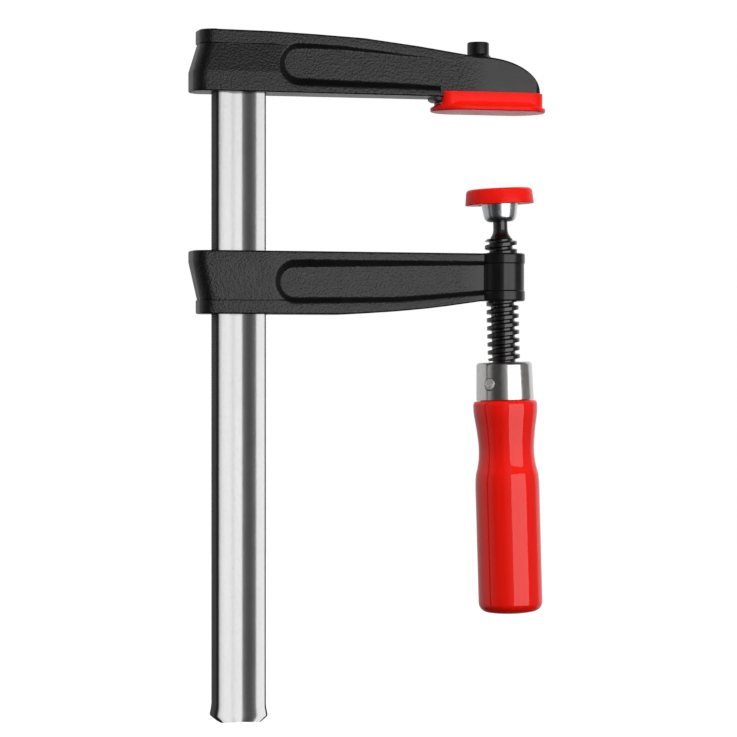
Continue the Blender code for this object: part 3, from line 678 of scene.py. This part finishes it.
class SideRows:
    """How a casting's side is sampled from its lower edge to its upper edge, both rounded."""

    def __init__(self, count):
        turn = np.radians(np.linspace(0, 90, EDGE_STEPS))
        body = np.linspace(0, 1, count + 2)[1:-1]
        still = np.zeros(count)
        self.share = np.concatenate([[0.0], np.zeros(EDGE_STEPS), body, np.ones(EDGE_STEPS), [1.0]])
        lift = [[0.0], 1 - np.cos(turn), still + 1.0, 1 + np.sin(turn), [2.0]]
        inset = [[1.5], 1 - np.sin(turn), still, 1 - np.cos(turn), [1.5]]
        self.lift = EDGE_RADIUS * np.concatenate(lift)
        self.inset = EDGE_RADIUS * np.concatenate(inset)

    def heights(self, low, high):
        low = np.atleast_1d(low)[:, None]
        high = np.atleast_1d(high)[:, None]
        return low + self.lift + self.share * (high - low - 2 * EDGE_RADIUS)


def heel_rings(rows, low, high, back_at, half_at):
    """Rings round the heel's two vertical corners."""
    turn = np.radians(np.linspace(0, 90, 13))[:, None]
    z = rows.heights(low, high)
    x = back_at(z) + rows.inset + HEEL_RADIUS * (1 - np.cos(turn))
    half = half_at(z) - rows.inset - HEEL_RADIUS * (1 - np.sin(turn))
    return x, half, np.repeat(z, len(turn), axis=0)


def cast_solid(name, *sections):
    """A casting from (x, half thickness, z) arrays, the back mirroring the front."""
    x, half, z = (np.concatenate(parts) for parts in zip(*sections))
    front = np.stack([x, -half, z], axis=-1)
    back = np.stack([x, half, z], axis=-1)
    return ring_solid(name, np.concatenate([front, back[:, ::-1]], axis=1), mirrored=True)


def on_line(points, x):
    """Height at x on a line through (x, z) points."""
    xs, zs = np.array(points).T
    return np.interp(x, xs, zs)


JAW_RECESS = recess_outline(JAW_RECESS_LEFT, JAW_RECESS_LOWER, JAW_RECESS_UPPER)
ARM_RECESS = recess_outline(ARM_RECESS_LEFT, ARM_RECESS_LOWER, ARM_RECESS_UPPER)


def jaw_side(x, z):
    """Half thickness of the fixed jaw at points on its side."""
    share = np.clip((x - TAPER_START_X) / (TOP_FLANGE_END_X - TAPER_START_X), 0.0, 1.0)
    past = np.clip((x - LOW_FLANGE_END_X) / EDGE_RADIUS + 1.0, 0.0, 1.0)
    low_half = NOSE_HALF + (CAST_HALF - 1.3 * share - NOSE_HALF) * np.sqrt(1.0 - past ** 2)
    high_half = CAST_BACK_HALF + (NOSE_HALF - CAST_BACK_HALF) * share
    inner = np.minimum(high_half, NARROW_HALF)
    step = JAW_STEP_Z - 6.0 * share
    rise = np.clip((z - JAW_STRIP_Z) / (step - JAW_STRIP_Z), 0.0, 1.0)
    side = low_half + (inner - low_half) * rise
    side = side + (high_half - inner) * np.clip((z - step) / STEP_HEIGHT, 0.0, 1.0)
    panel = PANEL_HALF + (NOSE_HALF - PANEL_HALF) * share
    return recessed(side, panel, distance_outside(x, z, JAW_RECESS))


def jaw_back(z):
    """Where the fixed jaw's heel ends at each height."""
    return np.interp(z, (JAW_FACE_Z, JAW_STRIP_Z, JAW_STEP_Z, JAW_STEP_Z + STEP_HEIGHT),
                     (HEEL_X, HEEL_X, HEEL_NARROW_X, HEEL_STEP_X))


def make_fixed_jaw():
    """The casting with its rail slot, the nub on top and the rib that stops the cap."""
    rows = SideRows(96)
    straight = np.concatenate([np.linspace(-12, 12.5, 8), np.arange(13.0, 27.0, 0.3),
                               np.arange(27.0, 98.0, 1.5), np.arange(98.0, 100.0, 0.15),
                               np.arange(100.0, FOOT_X + 0.6, 0.3), np.arange(108.5, NOSE_CENTRE_X, 1.0)])
    turn = np.radians(np.concatenate([np.linspace(0, 60, 26), np.linspace(62, 90, 22)]))
    power = 2 / NOSE_FULLNESS
    x = np.concatenate([straight, NOSE_CENTRE_X + NOSE_LENGTH * np.sin(turn) ** power])
    low = JAW_FACE_Z + (FOOT_Z - JAW_FACE_Z) * np.clip((x - FOOT_X) / GAP + 1.0, 0.0, 1.0)
    along = np.clip((x - NOSE_CENTRE_X) / NOSE_LENGTH, 0.0, 1.0)
    around = (1 - along ** NOSE_FULLNESS) ** (1 / NOSE_FULLNESS)
    high = np.where(x < NOSE_CENTRE_X, on_line(JAW_TOP, x), JAW_FACE_Z + NOSE_HEIGHT * around)
    z = rows.heights(low, np.maximum(high, low + 2.5))
    past = np.clip(x - (NOSE_CENTRE_X + NOSE_LENGTH - NOSE_CORNER), 0.0, NOSE_CORNER)
    corner = NOSE_CORNER - np.sqrt(NOSE_CORNER ** 2 - past ** 2)
    grid_x = np.repeat(x[:, None], z.shape[1], axis=1)
    half = jaw_side(grid_x, z) - corner[:, None] - rows.inset
    heel = heel_rings(rows, JAW_FACE_Z, on_line(JAW_TOP, HEEL_X), jaw_back,
                      lambda z: jaw_side(np.zeros_like(z), z))
    jaw = cast_solid("fixed_jaw_casting", heel, (grid_x, half, z))
    jaw = carve(jaw, "DIFFERENCE", rail_slot("jaw_slot", GAP, JAW_FACE_Z - 8, JAW_FACE_Z + 40))
    nub_foot = NUB_RADIUS + 2.1
    nub = turned("nub", softened([(0.0, NUB_TOP_Z, 0), (NUB_RADIUS, NUB_TOP_Z, 0.8),
                                  (NUB_RADIUS, 325.0, 1.6), (nub_foot, 322.8, 0),
                                  (nub_foot, 318.0, 0), (0.0, 318.0, 0)]))
    nub.data.transform(Matrix.Translation((NUB_X * MM, 0.0, 0.0)))
    rib_side = [(STOP_RIB_X[0], JAW_FACE_Z + 1.0), (STOP_RIB_X[0], STOP_RIB_Z + 1.2),
                (STOP_RIB_X[0] + 0.5, STOP_RIB_Z + 0.5), (STOP_RIB_X[0] + 2.0, STOP_RIB_Z),
                (STOP_RIB_X[1], STOP_RIB_Z), (STOP_RIB_X[1], JAW_FACE_Z + 1.0)]
    rib_rings = []
    for y, lift in ((-STOP_RIB_HALF, 0.5), (-STOP_RIB_HALF + 0.5, 0.0), (STOP_RIB_HALF - 0.5, 0.0),
                    (STOP_RIB_HALF, 0.5)):
        rib_rings.append([(x, y, z + (lift if z < JAW_FACE_Z else 0.0)) for x, z in rib_side])
    return merge(jaw, nub, ring_solid("stop_rib", rib_rings))


def arm_side(x, z):
    """Half thickness of the sliding arm at points on its side, its boss left out."""
    share = np.clip((x - TAPER_START_X) / (TAPER_END_X - TAPER_START_X), 0.0, 1.0)
    step = np.maximum(ARM_STEP_Z + 3.5 * share, on_line(ARM_BOTTOM, x) + 2.5)
    rise = np.clip((ARM_STRIP_Z - z) / (ARM_STRIP_Z - step), 0.0, 1.0)
    side = CAST_HALF + (NARROW_HALF - CAST_HALF) * rise
    side = side + (CAST_BACK_HALF - NARROW_HALF) * np.clip((step - z) / STEP_HEIGHT, 0.0, 1.0)
    levelled = NARROW_HALF + (side - NARROW_HALF) * (1.0 - share)
    side = np.minimum(side, levelled) - ARM_THINNING * share
    side = recessed(side, PANEL_HALF - PANEL_THINNING * share, distance_outside(x, z, ARM_RECESS))
    return side - 3.0 * np.clip(x - SIDE_END_X, 0.0, None)


def boss_radius(z):
    """The boss's radius at each height: a wider rim at both ends."""
    inward = np.minimum(BOSS_TOP_Z - z, z - BOSS_BOTTOM_Z)
    return BOSS_RADIUS + (BOSS_RIM_RADIUS - BOSS_RADIUS) * np.clip((BOSS_RIM + 0.25 - inward) / 0.5, 0.0, 1.0)


def arm_back(z):
    """Where the sliding arm's heel ends at each height."""
    return np.interp(z, (ARM_STEP_Z - STEP_HEIGHT, ARM_STEP_Z, ARM_STRIP_Z, ARM_FACE_Z),
                     (HEEL_STEP_X, HEEL_NARROW_X, HEEL_X, HEEL_X))


def make_sliding_arm():
    """The casting with its rail slot and the bored boss."""
    rows = SideRows(96)
    x = np.concatenate([np.linspace(-12, 11.5, 8), np.arange(12.0, 26.0, 0.3), np.arange(26.0, 113.0, 1.5),
                        np.arange(113.0, BOSS_X, 0.3)])
    low = on_line(ARM_BOTTOM, x)
    high = np.interp(x, (122.0, 126.0), (ARM_FACE_Z, BOSS_TOP_Z))
    z = rows.heights(low, high)
    grid_x = np.repeat(x[:, None], z.shape[1], axis=1)
    boss_half = np.sqrt(np.clip(boss_radius(z) ** 2 - (grid_x - BOSS_X) ** 2, 0.0, None))
    half = rounded_max(arm_side(grid_x, z), boss_half, BOSS_FILLET) - rows.inset
    turn = np.radians(np.linspace(0, 90, 31))[:, None]
    boss_z = rows.heights(BOSS_BOTTOM_Z, BOSS_TOP_Z)
    radius = boss_radius(boss_z) - rows.inset
    boss = (BOSS_X + radius * np.sin(turn), radius * np.cos(turn), np.repeat(boss_z, len(turn), axis=0))
    heel = heel_rings(rows, ARM_BOTTOM_Z, ARM_FACE_Z, arm_back, lambda z: arm_side(np.zeros_like(z), z))
    arm = cast_solid("sliding_arm_casting", heel, (grid_x, half, z), boss)
    bore = turned("bore", [(0.0, -12.0), (BORE_RADIUS + 0.2, -12.0), (BORE_RADIUS + 0.2, -20.8),
                           (BORE_RADIUS, -21.6), (BORE_RADIUS, -44.4), (BORE_RADIUS + 0.8, -45.2),
                           (BORE_RADIUS + 0.8, -52.0), (0.0, -52.0)], steps=64)
    place_on(SPINDLE_LEAN, bore)
    slot = rail_slot("arm_slot", SLOT_CLEARANCE, ARM_BOTTOM_Z - 5, ARM_FACE_Z + 5)
    return carve(arm, "DIFFERENCE", slot, bore)


# ---------------------------------------------------------------- cap on the fixed jaw

def rounded_rectangle(left, right, half, left_radius, right_radius, steps=12):
    """Anticlockwise outline in XY, about the X axis, with its own corner radius at each end."""
    front = []
    corners = ((left + left_radius, left_radius, math.pi),
               (right - right_radius, right_radius, 1.5 * math.pi))
    for centre, radius, start in corners:
        for i in range(steps + 1):
            angle = start + math.pi / 2 * i / steps
            front.append((centre + radius * math.cos(angle), radius - half + radius * math.sin(angle)))
    return front + [(x, -y) for x, y in front[::-1]]


def stadium(half_length, half_width, steps=40):
    """The cap's outline: straight sides and round ends, about the cap's centre."""
    straight = CAP_HALF_LENGTH - CAP_HALF_WIDTH
    reach = half_length - straight
    points = []
    for side in (1, -1):
        for i in range(steps + 1):
            angle = math.pi * (i / steps - 0.5)
            points.append((CAP_CENTRE_X + side * (straight + reach * math.cos(angle)),
                           side * half_width * math.sin(angle)))
    return points


def make_fixed_jaw_cap():
    """A flat flanged shoe with a skirt, hollowed for the jaw's foot."""
    levels = softened([(3.0, CAP_FACE_Z, 0), (0.0, CAP_FACE_Z, 0.8), (0.0, CAP_FACE_Z + 2.0, 0.5),
                       (2.2, CAP_FACE_Z + 3.2, 0.8), (3.9, CAP_FACE_Z + 4.6, 0)])
    rings = [[(x, y, z) for x, y in stadium(CAP_HALF_LENGTH - inset, CAP_HALF_WIDTH - inset)]
             for inset, z in levels]
    cap = ring_solid("jaw_cap", rings)
    left, right = CAP_SKIRT_X
    skirt_levels = softened([(0.0, CAP_FACE_Z + 2.5, 0), (0.0, CAP_SKIRT_TOP_Z, 0.5),
                             (0.9, CAP_SKIRT_TOP_Z, 0)])
    skirt_rings = []
    for inset, z in skirt_levels:
        outline = rounded_rectangle(left + inset, right - inset, CAP_SKIRT_HALF - inset, *CAP_SKIRT_CORNERS)
        skirt_rings.append([(x, y, z) for x, y in outline])
    skirt = ring_solid("cap_skirt", skirt_rings)
    foot_room = rounded_rectangle(FOOT_X - GAP, NOSE_CENTRE_X + NOSE_LENGTH + GAP, NOSE_HALF + GAP, 0.2,
                                  NOSE_CORNER)
    hollow = ring_solid("cap_hollow", [[(x, y, z) for x, y in foot_room]
                                       for z in (FOOT_Z - GAP, CAP_SKIRT_TOP_Z + 5)])
    jaw_room = box_solid("cap_jaw_room", (left - 5, -NOSE_HALF - GAP, JAW_FACE_Z - GAP),
                         (FOOT_X, NOSE_HALF + GAP, CAP_SKIRT_TOP_Z + 5))
    rib_room = box_solid("cap_rib_room", (STOP_RIB_X[0] - 4, -STOP_RIB_HALF - GAP, STOP_RIB_Z - GAP),
                         (STOP_RIB_X[1] + GAP, STOP_RIB_HALF + GAP, JAW_FACE_Z + 2))
    carve(cap, "UNION", skirt)
    return carve(cap, "DIFFERENCE", hollow, jaw_room, rib_room)


# ---------------------------------------------------------------- spindle and handle

def thread_profile():
    """(radius, height) points of one pitch of the thread, with rounded crest and root."""
    half = THREAD_PITCH / 2
    corners = [(THREAD_ROOT_RADIUS, -half, 0), (THREAD_ROOT_RADIUS, -1.30, 0.35),
               (THREAD_RADIUS, -0.90, 0.22), (THREAD_RADIUS, 0.90, 0.22),
               (THREAD_ROOT_RADIUS, 1.30, 0.35), (THREAD_ROOT_RADIUS, half, 0)]
    return softened(corners, 3)[:-1]


def make_thread():
    """A right-hand helix with a short chamfer at each end."""
    profile = thread_profile()
    first = math.floor(THREAD_BOTTOM / THREAD_PITCH) - 1
    last = math.ceil(THREAD_TOP / THREAD_PITCH) + 1
    angle = 2 * np.pi * np.arange(THREAD_STEPS + 1) / THREAD_STEPS
    rows = []
    for turn in range(first, last):
        for radius, height in profile:
            z = height + THREAD_PITCH * (turn + angle / (2 * np.pi))
            limit = THREAD_ROOT_RADIUS + 0.9 + np.minimum(THREAD_TOP - z, z - THREAD_BOTTOM + 1.0) * 1.2
            limited = np.minimum(radius, np.maximum(limit, 5.0))
            rows.append(np.stack([limited * np.cos(angle), limited * np.sin(angle), z], axis=-1))
    rows = np.array(rows)
    count, columns, _ = rows.shape
    row, column = np.meshgrid(np.arange(count - 1), np.arange(columns - 1), indexing="ij")
    here = row * columns + column
    faces = np.stack([here, here + 1, here + columns + 1, here + columns], axis=-1).reshape(-1, 4).tolist()
    thread = new_piece("thread", rows.reshape(-1, 3), faces)
    bm = bmesh.new()
    bm.from_mesh(thread.data)
    for height, normal in ((THREAD_BOTTOM, (0, 0, -1)), (THREAD_TOP, (0, 0, 1))):
        everything = bm.verts[:] + bm.edges[:] + bm.faces[:]
        bmesh.ops.bisect_plane(bm, geom=everything, plane_co=(0, 0, height * MM), plane_no=normal,
                               clear_outer=True, dist=MERGE * 0.01)
    bmesh.ops.holes_fill(bm, edges=[edge for edge in bm.edges if edge.is_boundary])
    bmesh.ops.recalc_face_normals(bm, faces=bm.faces)
    bm.to_mesh(thread.data)
    bm.free()
    return thread


def make_spindle():
    neck_angle = math.degrees(math.asin(NECK_RADIUS / BALL_RADIUS))
    profile = arc(0.0, 0.0, BALL_RADIUS, 90.0, -90.0 + neck_angle, 24)
    profile[0] = (0.0, BALL_RADIUS)
    profile += smooth_through([(NECK_RADIUS, -9.5), (3.9, -11.4), (4.8, -13.0), (5.5, -14.4)], 4)
    profile += [(5.5, THREAD_BOTTOM + 1.0), (TANG_RADIUS - 0.2, THREAD_BOTTOM + 1.0),
                (TANG_RADIUS, THREAD_BOTTOM - 0.6), (TANG_RADIUS, TANG_END + 1.0),
                (TANG_RADIUS - 1.0, TANG_END), (0.0, TANG_END)]
    return merge(turned("screw_spindle", profile, steps=72), make_thread())


def across(piece):
    """Lays a piece along the pin's direction, at the pin's height, in the spindle's frame."""
    turn = Euler((math.pi / 2, 0.0, -PIN_BEARING)).to_matrix().to_4x4()
    piece.data.transform(Matrix.Translation((0.0, 0.0, PIN_HEIGHT * MM)) @ turn)
    return piece


def pin_hole(name, reach):
    """A cutter for the pin's hole, reaching as far each way from the spindle's axis."""
    radius = PIN_RADIUS + PIN_CLEARANCE
    return across(turned(name, [(0.0, -reach), (radius, -reach), (radius, reach), (0.0, reach)], steps=48))


def make_handle_ferrule():
    """A drawn sleeve, closed at the top but for the spindle's hole."""
    hole = TANG_RADIUS + GAP
    inner_top = FERRULE_TOP_RADIUS - FERRULE_WALL
    inner_bottom = FERRULE_BOTTOM_RADIUS - FERRULE_WALL
    profile = softened([(hole, FERRULE_TOP, 0), (FERRULE_TOP_RADIUS, FERRULE_TOP, 1.7),
                        (FERRULE_BOTTOM_RADIUS, FERRULE_BOTTOM, 0.3), (inner_bottom, FERRULE_BOTTOM, 0.3),
                        (inner_top, FERRULE_TOP - FERRULE_WALL, 0.6),
                        (hole, FERRULE_TOP - FERRULE_WALL, 0)], 8)
    ferrule = turned("ferrule", profile, closed=True, steps=128)
    return carve(ferrule, "DIFFERENCE", pin_hole("ferrule_pin_hole", 18.0))


def make_handle():
    """Turned wood: a neck inside the ferrule, a waist and a rounded end."""
    neck = FERRULE_TOP_RADIUS - FERRULE_WALL - GAP
    neck_top = FERRULE_TOP - FERRULE_WALL - GAP
    shoulder = FERRULE_BOTTOM - GAP
    bore = TANG_RADIUS + GAP
    corner = 5.0
    body = [(HANDLE_RADIUS - 0.25, shoulder - 1.0), (HANDLE_RADIUS, shoulder - 2.2),
            (HANDLE_RADIUS - 0.15, -100.5), (14.65, -107.5), (HANDLE_WAIST_RADIUS, -115.5),
            (HANDLE_WAIST_RADIUS, -121.5), (14.5, -126.5), (15.45, -130.5), (HANDLE_RADIUS, -136.0),
            (HANDLE_RADIUS, -145.0)]
    profile = [(bore, neck_top), (neck, neck_top), (neck, shoulder), (FERRULE_BOTTOM_RADIUS, shoulder),
               (HANDLE_RADIUS - 1.0, shoulder - 0.15), (HANDLE_RADIUS - 0.55, shoulder - 0.45)]
    profile += smooth_through(body, 6)
    profile += [(HANDLE_RADIUS, z) for z in np.linspace(-150.0, -190.0, 9)]
    profile += arc(HANDLE_RADIUS - corner, HANDLE_END + corner + 1.0, corner, 0.0, -78.0, 12)
    profile += [(8.0, HANDLE_END + 0.45), (5.0, HANDLE_END + 0.2), (0.0, HANDLE_END), (0.0, TANG_END - 1.0),
                (bore, TANG_END - 1.0)]
    handle = turned("wooden_handle", profile, closed=True, steps=128)
    return carve(handle, "DIFFERENCE", pin_hole("handle_pin_hole", 14.0))


def make_handle_pin():
    """A coiled spring pin: one strip rolled up twice round, its inner turn a little bruised."""
    steps = 96
    turns = PIN_TURNS * np.arange(steps + 1) / steps
    angle = 2 * np.pi * turns
    bruise = 0.10 * turns * np.sin(3.1 * angle + 0.7)
    outer = PIN_RADIUS - (PIN_SHEET + PIN_SPACE) * turns + bruise * (turns > 0.6)
    outer = np.minimum(outer, PIN_RADIUS)
    inner = np.maximum(outer - PIN_SHEET, 0.25)
    rings = []
    bevel = 0.14
    for end, shrink in ((-PIN_HALF_LENGTH, bevel), (-PIN_HALF_LENGTH + bevel, 0.0),
                        (PIN_HALF_LENGTH - bevel, 0.0), (PIN_HALF_LENGTH, bevel)):
        height = np.full(steps + 1, end)
        outside, inside = (np.stack([radius * np.cos(angle), radius * np.sin(angle), height], axis=-1)
                           for radius in (outer - shrink, inner + shrink))
        rings.append(np.concatenate([outside, inside[::-1]]))
    coil = ring_solid("coiled_pin", rings, mirrored=True)
    reach = PIN_HALF_LENGTH - PIN_CORE_DEPTH
    plug = turned("pin_core", softened([(0.0, -reach, 0), (PIN_RADIUS - 0.5, -reach, 0.1),
                                        (PIN_RADIUS - 0.5, reach, 0.1), (0.0, reach, 0)]), steps=48)
    return across(merge(coil, plug))


# ---------------------------------------------------------------- swivel pad

def make_swivel_cup():
    """The pressure plate and its bowl, hollowed for the ball."""
    mouth_angle = math.degrees(math.asin(CUP_MOUTH_RADIUS / SOCKET_RADIUS))
    socket = arc(0.0, 0.0, SOCKET_RADIUS, -90.0 + mouth_angle, 90.0, 24)
    socket[-1] = (0.0, SOCKET_RADIUS)
    plate = softened([(0.0, PLATE_TOP, 0), (PLATE_RADIUS, PLATE_TOP, 0.6), (PLATE_RADIUS, PLATE_LOW, 0.4),
                      (9.15, PLATE_LOW, 0.4), (9.05, PLATE_LOW - 1.2, 0)])
    bowl = smooth_through([(9.05, PLATE_LOW - 1.2), (8.8, 1.6), (8.45, -0.6), (8.1, -2.6), (7.7, -3.9),
                           (7.0, -4.95), (6.1, CUP_BOTTOM)], 4)
    return turned("pad_cup", plate + bowl[1:] + [(CUP_MOUTH_RADIUS, -5.45)] + socket, steps=112)


def make_swivel_cap():
    """The plastic cap snapped over the pressure plate."""
    room = PLATE_RADIUS + GAP
    roof = PLATE_TOP + GAP
    lip = 9.05 + GAP
    profile = softened([(0.0, PAD_TOP, 0), (PAD_TOP_RADIUS, PAD_TOP, 1.8), (PAD_RADIUS, PAD_LOW, 0.35),
                        (lip + 1.0, PAD_LOW, 0.2), (lip + 1.0, PLATE_LOW - GAP, 0),
                        (room, PLATE_LOW - GAP, 0), (room, roof, 0), (0.0, roof, 0)])
    return turned("pad_cap", profile, steps=128)


# ---------------------------------------------------------------- studio

def direction(azimuth, elevation=0.0):
    """Unit vector; azimuth in degrees from the camera's side, positive to its right."""
    turn = math.radians(azimuth) + CAMERA_BEARING
    rise = math.radians(elevation)
    return Vector((math.sin(turn) * math.cos(rise), -math.cos(turn) * math.cos(rise), math.sin(rise)))


def add_softbox(name, azimuth, elevation, distance, width, height, radiance):
    """A rectangular light that faces the clamp and isn't seen by the camera."""
    light = bpy.data.lights.new(name, "AREA")
    light.shape = "RECTANGLE"
    light.size = width
    light.size_y = height
    light.energy = radiance * math.pi * width * height
    box = bpy.data.objects.new(name, light)
    toward = direction(azimuth, elevation)
    box.location = AIM + toward * distance
    box.rotation_euler = toward.to_track_quat("Z", "Y").to_euler()
    box.visible_camera = False
    bpy.context.scene.collection.objects.link(box)
    return box


def make_world():
    """White behind the clamp; softer and uneven all round for the light and reflections."""
    world = bpy.data.worlds.new("studio")
    bpy.context.scene.world = world
    world.use_nodes = True
    nodes = world.node_tree.nodes
    link = world.node_tree.links.new
    nodes.clear()

    def brightness(source, reach, stops, position):
        """The level that stops give, for a source that runs from -reach to reach."""
        share = nodes.new("ShaderNodeMapRange")
        share.inputs["From Min"].default_value = -reach
        share.inputs["From Max"].default_value = reach
        link(source, share.inputs["Value"])
        ramp = nodes.new("ShaderNodeValToRGB")
        set_ramp(ramp.color_ramp, stops, position)
        link(share.outputs["Result"], ramp.inputs["Fac"])
        return ramp.outputs["Color"]

    coordinates = nodes.new("ShaderNodeTexCoord")
    parts = nodes.new("ShaderNodeSeparateXYZ")
    link(coordinates.outputs["Generated"], parts.inputs[0])
    forward = nodes.new("ShaderNodeMath")
    forward.operation = "MULTIPLY"
    forward.inputs[1].default_value = -1.0
    link(parts.outputs["Y"], forward.inputs[0])
    bearing = nodes.new("ShaderNodeMath")
    bearing.operation = "ARCTAN2"
    link(parts.outputs["X"], bearing.inputs[0])
    link(forward.outputs[0], bearing.inputs[1])
    around = brightness(bearing.outputs[0], math.pi, ROUND_ABOUT,
                        lambda azimuth: 0.5 + (azimuth + math.degrees(CAMERA_BEARING)) / 360.0)
    upward = brightness(parts.outputs["Z"], 1.0, UP_AND_DOWN,
                        lambda rise: 0.5 + math.sin(math.radians(rise)) / 2)
    both = nodes.new("ShaderNodeMix")
    both.data_type = "RGBA"
    both.blend_type = "MULTIPLY"
    both.inputs["Factor"].default_value = 1.0
    colour_a, colour_b = [socket for socket in both.inputs if socket.type == "RGBA"]
    link(around, colour_a)
    link(upward, colour_b)
    ambient = nodes.new("ShaderNodeBackground")
    link([socket for socket in both.outputs if socket.type == "RGBA"][0], ambient.inputs["Color"])
    white = nodes.new("ShaderNodeBackground")
    white.inputs["Color"].default_value = (1.0, 1.0, 1.0, 1.0)
    path = nodes.new("ShaderNodeLightPath")
    choose = nodes.new("ShaderNodeMixShader")
    link(path.outputs["Is Camera Ray"], choose.inputs["Fac"])
    link(ambient.outputs[0], choose.inputs[1])
    link(white.outputs[0], choose.inputs[2])
    output = nodes.new("ShaderNodeOutputWorld")
    link(choose.outputs[0], output.inputs["Surface"])


def set_ramp(ramp, stops, position):
    """Sets a ramp's levels at (place, level) stops; position turns a place into 0 to 1."""
    while len(ramp.elements) < len(stops):
        ramp.elements.new(0.5)
    for element, (place, level) in zip(ramp.elements, stops):
        element.position = min(max(position(place), 0.0), 1.0)
        element.color = (level, level, level, 1.0)


def make_studio(red_pieces):
    """A tall window to the right of the camera, and a high light on the red pieces alone."""
    make_world()
    add_softbox("key_light", azimuth=42.0, elevation=-7.0, distance=1.3, width=1.36, height=1.1, radiance=1.9)
    fill = add_softbox("high_fill", azimuth=10.0, elevation=50.0, distance=1.6, width=1.5, height=1.1,
                       radiance=4.0)
    fill.visible_glossy = False
    lit = bpy.data.collections.new("lit_by_high_fill")
    for piece in red_pieces:
        lit.objects.link(piece)
    fill.light_linking.receiver_collection = lit
    corners = [(-FLOOR_HALF, -FLOOR_HALF, FLOOR_Z), (FLOOR_HALF, -FLOOR_HALF, FLOOR_Z),
               (FLOOR_HALF, FLOOR_HALF, FLOOR_Z), (-FLOOR_HALF, FLOOR_HALF, FLOOR_Z)]
    floor = new_piece("floor", corners, [(0, 1, 2, 3)])
    floor.data.materials.append(pale_floor())
    floor.visible_glossy = False
    floor.visible_diffuse = False
    floor.visible_shadow = False


def make_camera():
    """Nearly level, fifteen degrees to the left of the wide faces."""
    camera = bpy.data.cameras.new("camera")
    camera.lens = CAMERA_LENS
    camera.shift_y = CAMERA_SHIFT
    camera.clip_end = 50.0
    holder = bpy.data.objects.new("camera", camera)
    holder.location = CAMERA_PLACE
    holder.rotation_euler = (math.pi / 2, 0.0, CAMERA_BEARING)
    bpy.context.scene.collection.objects.link(holder)
    bpy.context.scene.camera = holder
    bpy.context.scene.view_settings.view_transform = "Standard"


# ---------------------------------------------------------------- assembly

def carried_over(node, material):
    """A CAD node that stays as it is, with a finished material."""
    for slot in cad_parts[node].material_slots:
        slot.material = material


def build():
    """Makes every piece, and returns the ones the high light falls on."""
    cast = cast_black()
    caps = moulded_red()
    cup_steel = dull_steel("plated_cup", (0.60, 0.63, 0.66), (0.74, 0.76, 0.78), 3.0, (0.16, 0.28), 0.0015)
    inner = (1.4, (0.28, 0.45), 0.003)
    seat_steel = dull_steel("seat_steel_finish", (0.34, 0.34, 0.35), (0.52, 0.52, 0.53), *inner)
    retainer_steel = dull_steel("retainer_steel_finish", (0.30, 0.30, 0.31), (0.46, 0.46, 0.48), *inner)
    jaw_cap = make_fixed_jaw_cap()
    finish_piece(make_rail(), "frame", "rail", plated_rail(), 50.0)
    finish_piece(make_fixed_jaw(), "frame", "fixed_jaw", cast)
    finish_piece(jaw_cap, "frame", "fixed_jaw_cap", caps)
    finish_piece(make_sliding_arm(), "arm", "sliding_arm", cast)

    spindle = make_spindle()
    ferrule = make_handle_ferrule()
    handle = make_handle()
    pin = make_handle_pin()
    place_on(SPINDLE_LEAN, spindle, ferrule, handle, pin)
    cup = make_swivel_cup()
    cap = make_swivel_cap()
    place_on(PAD_TILT, cup, cap)
    bpy.context.view_layer.update()
    finish_piece(spindle, "spindle", "spindle", blackened_steel())
    finish_piece(ferrule, "spindle", "handle_ferrule", polished_steel())
    finish_piece(handle, "spindle", "handle", lacquered_red())
    finish_piece(pin, "spindle", "handle_pin", spring_steel())
    finish_piece(cup, "pad", "swivel_cup", cup_steel)
    finish_piece(cap, "pad", "swivel_cap", caps)
    carried_over("ball_seat", seat_steel)
    carried_over("ball_retainer", retainer_steel)
    return jaw_cap, cap, handle


make_studio(build())
make_camera()

bpy.context.view_layer.update()
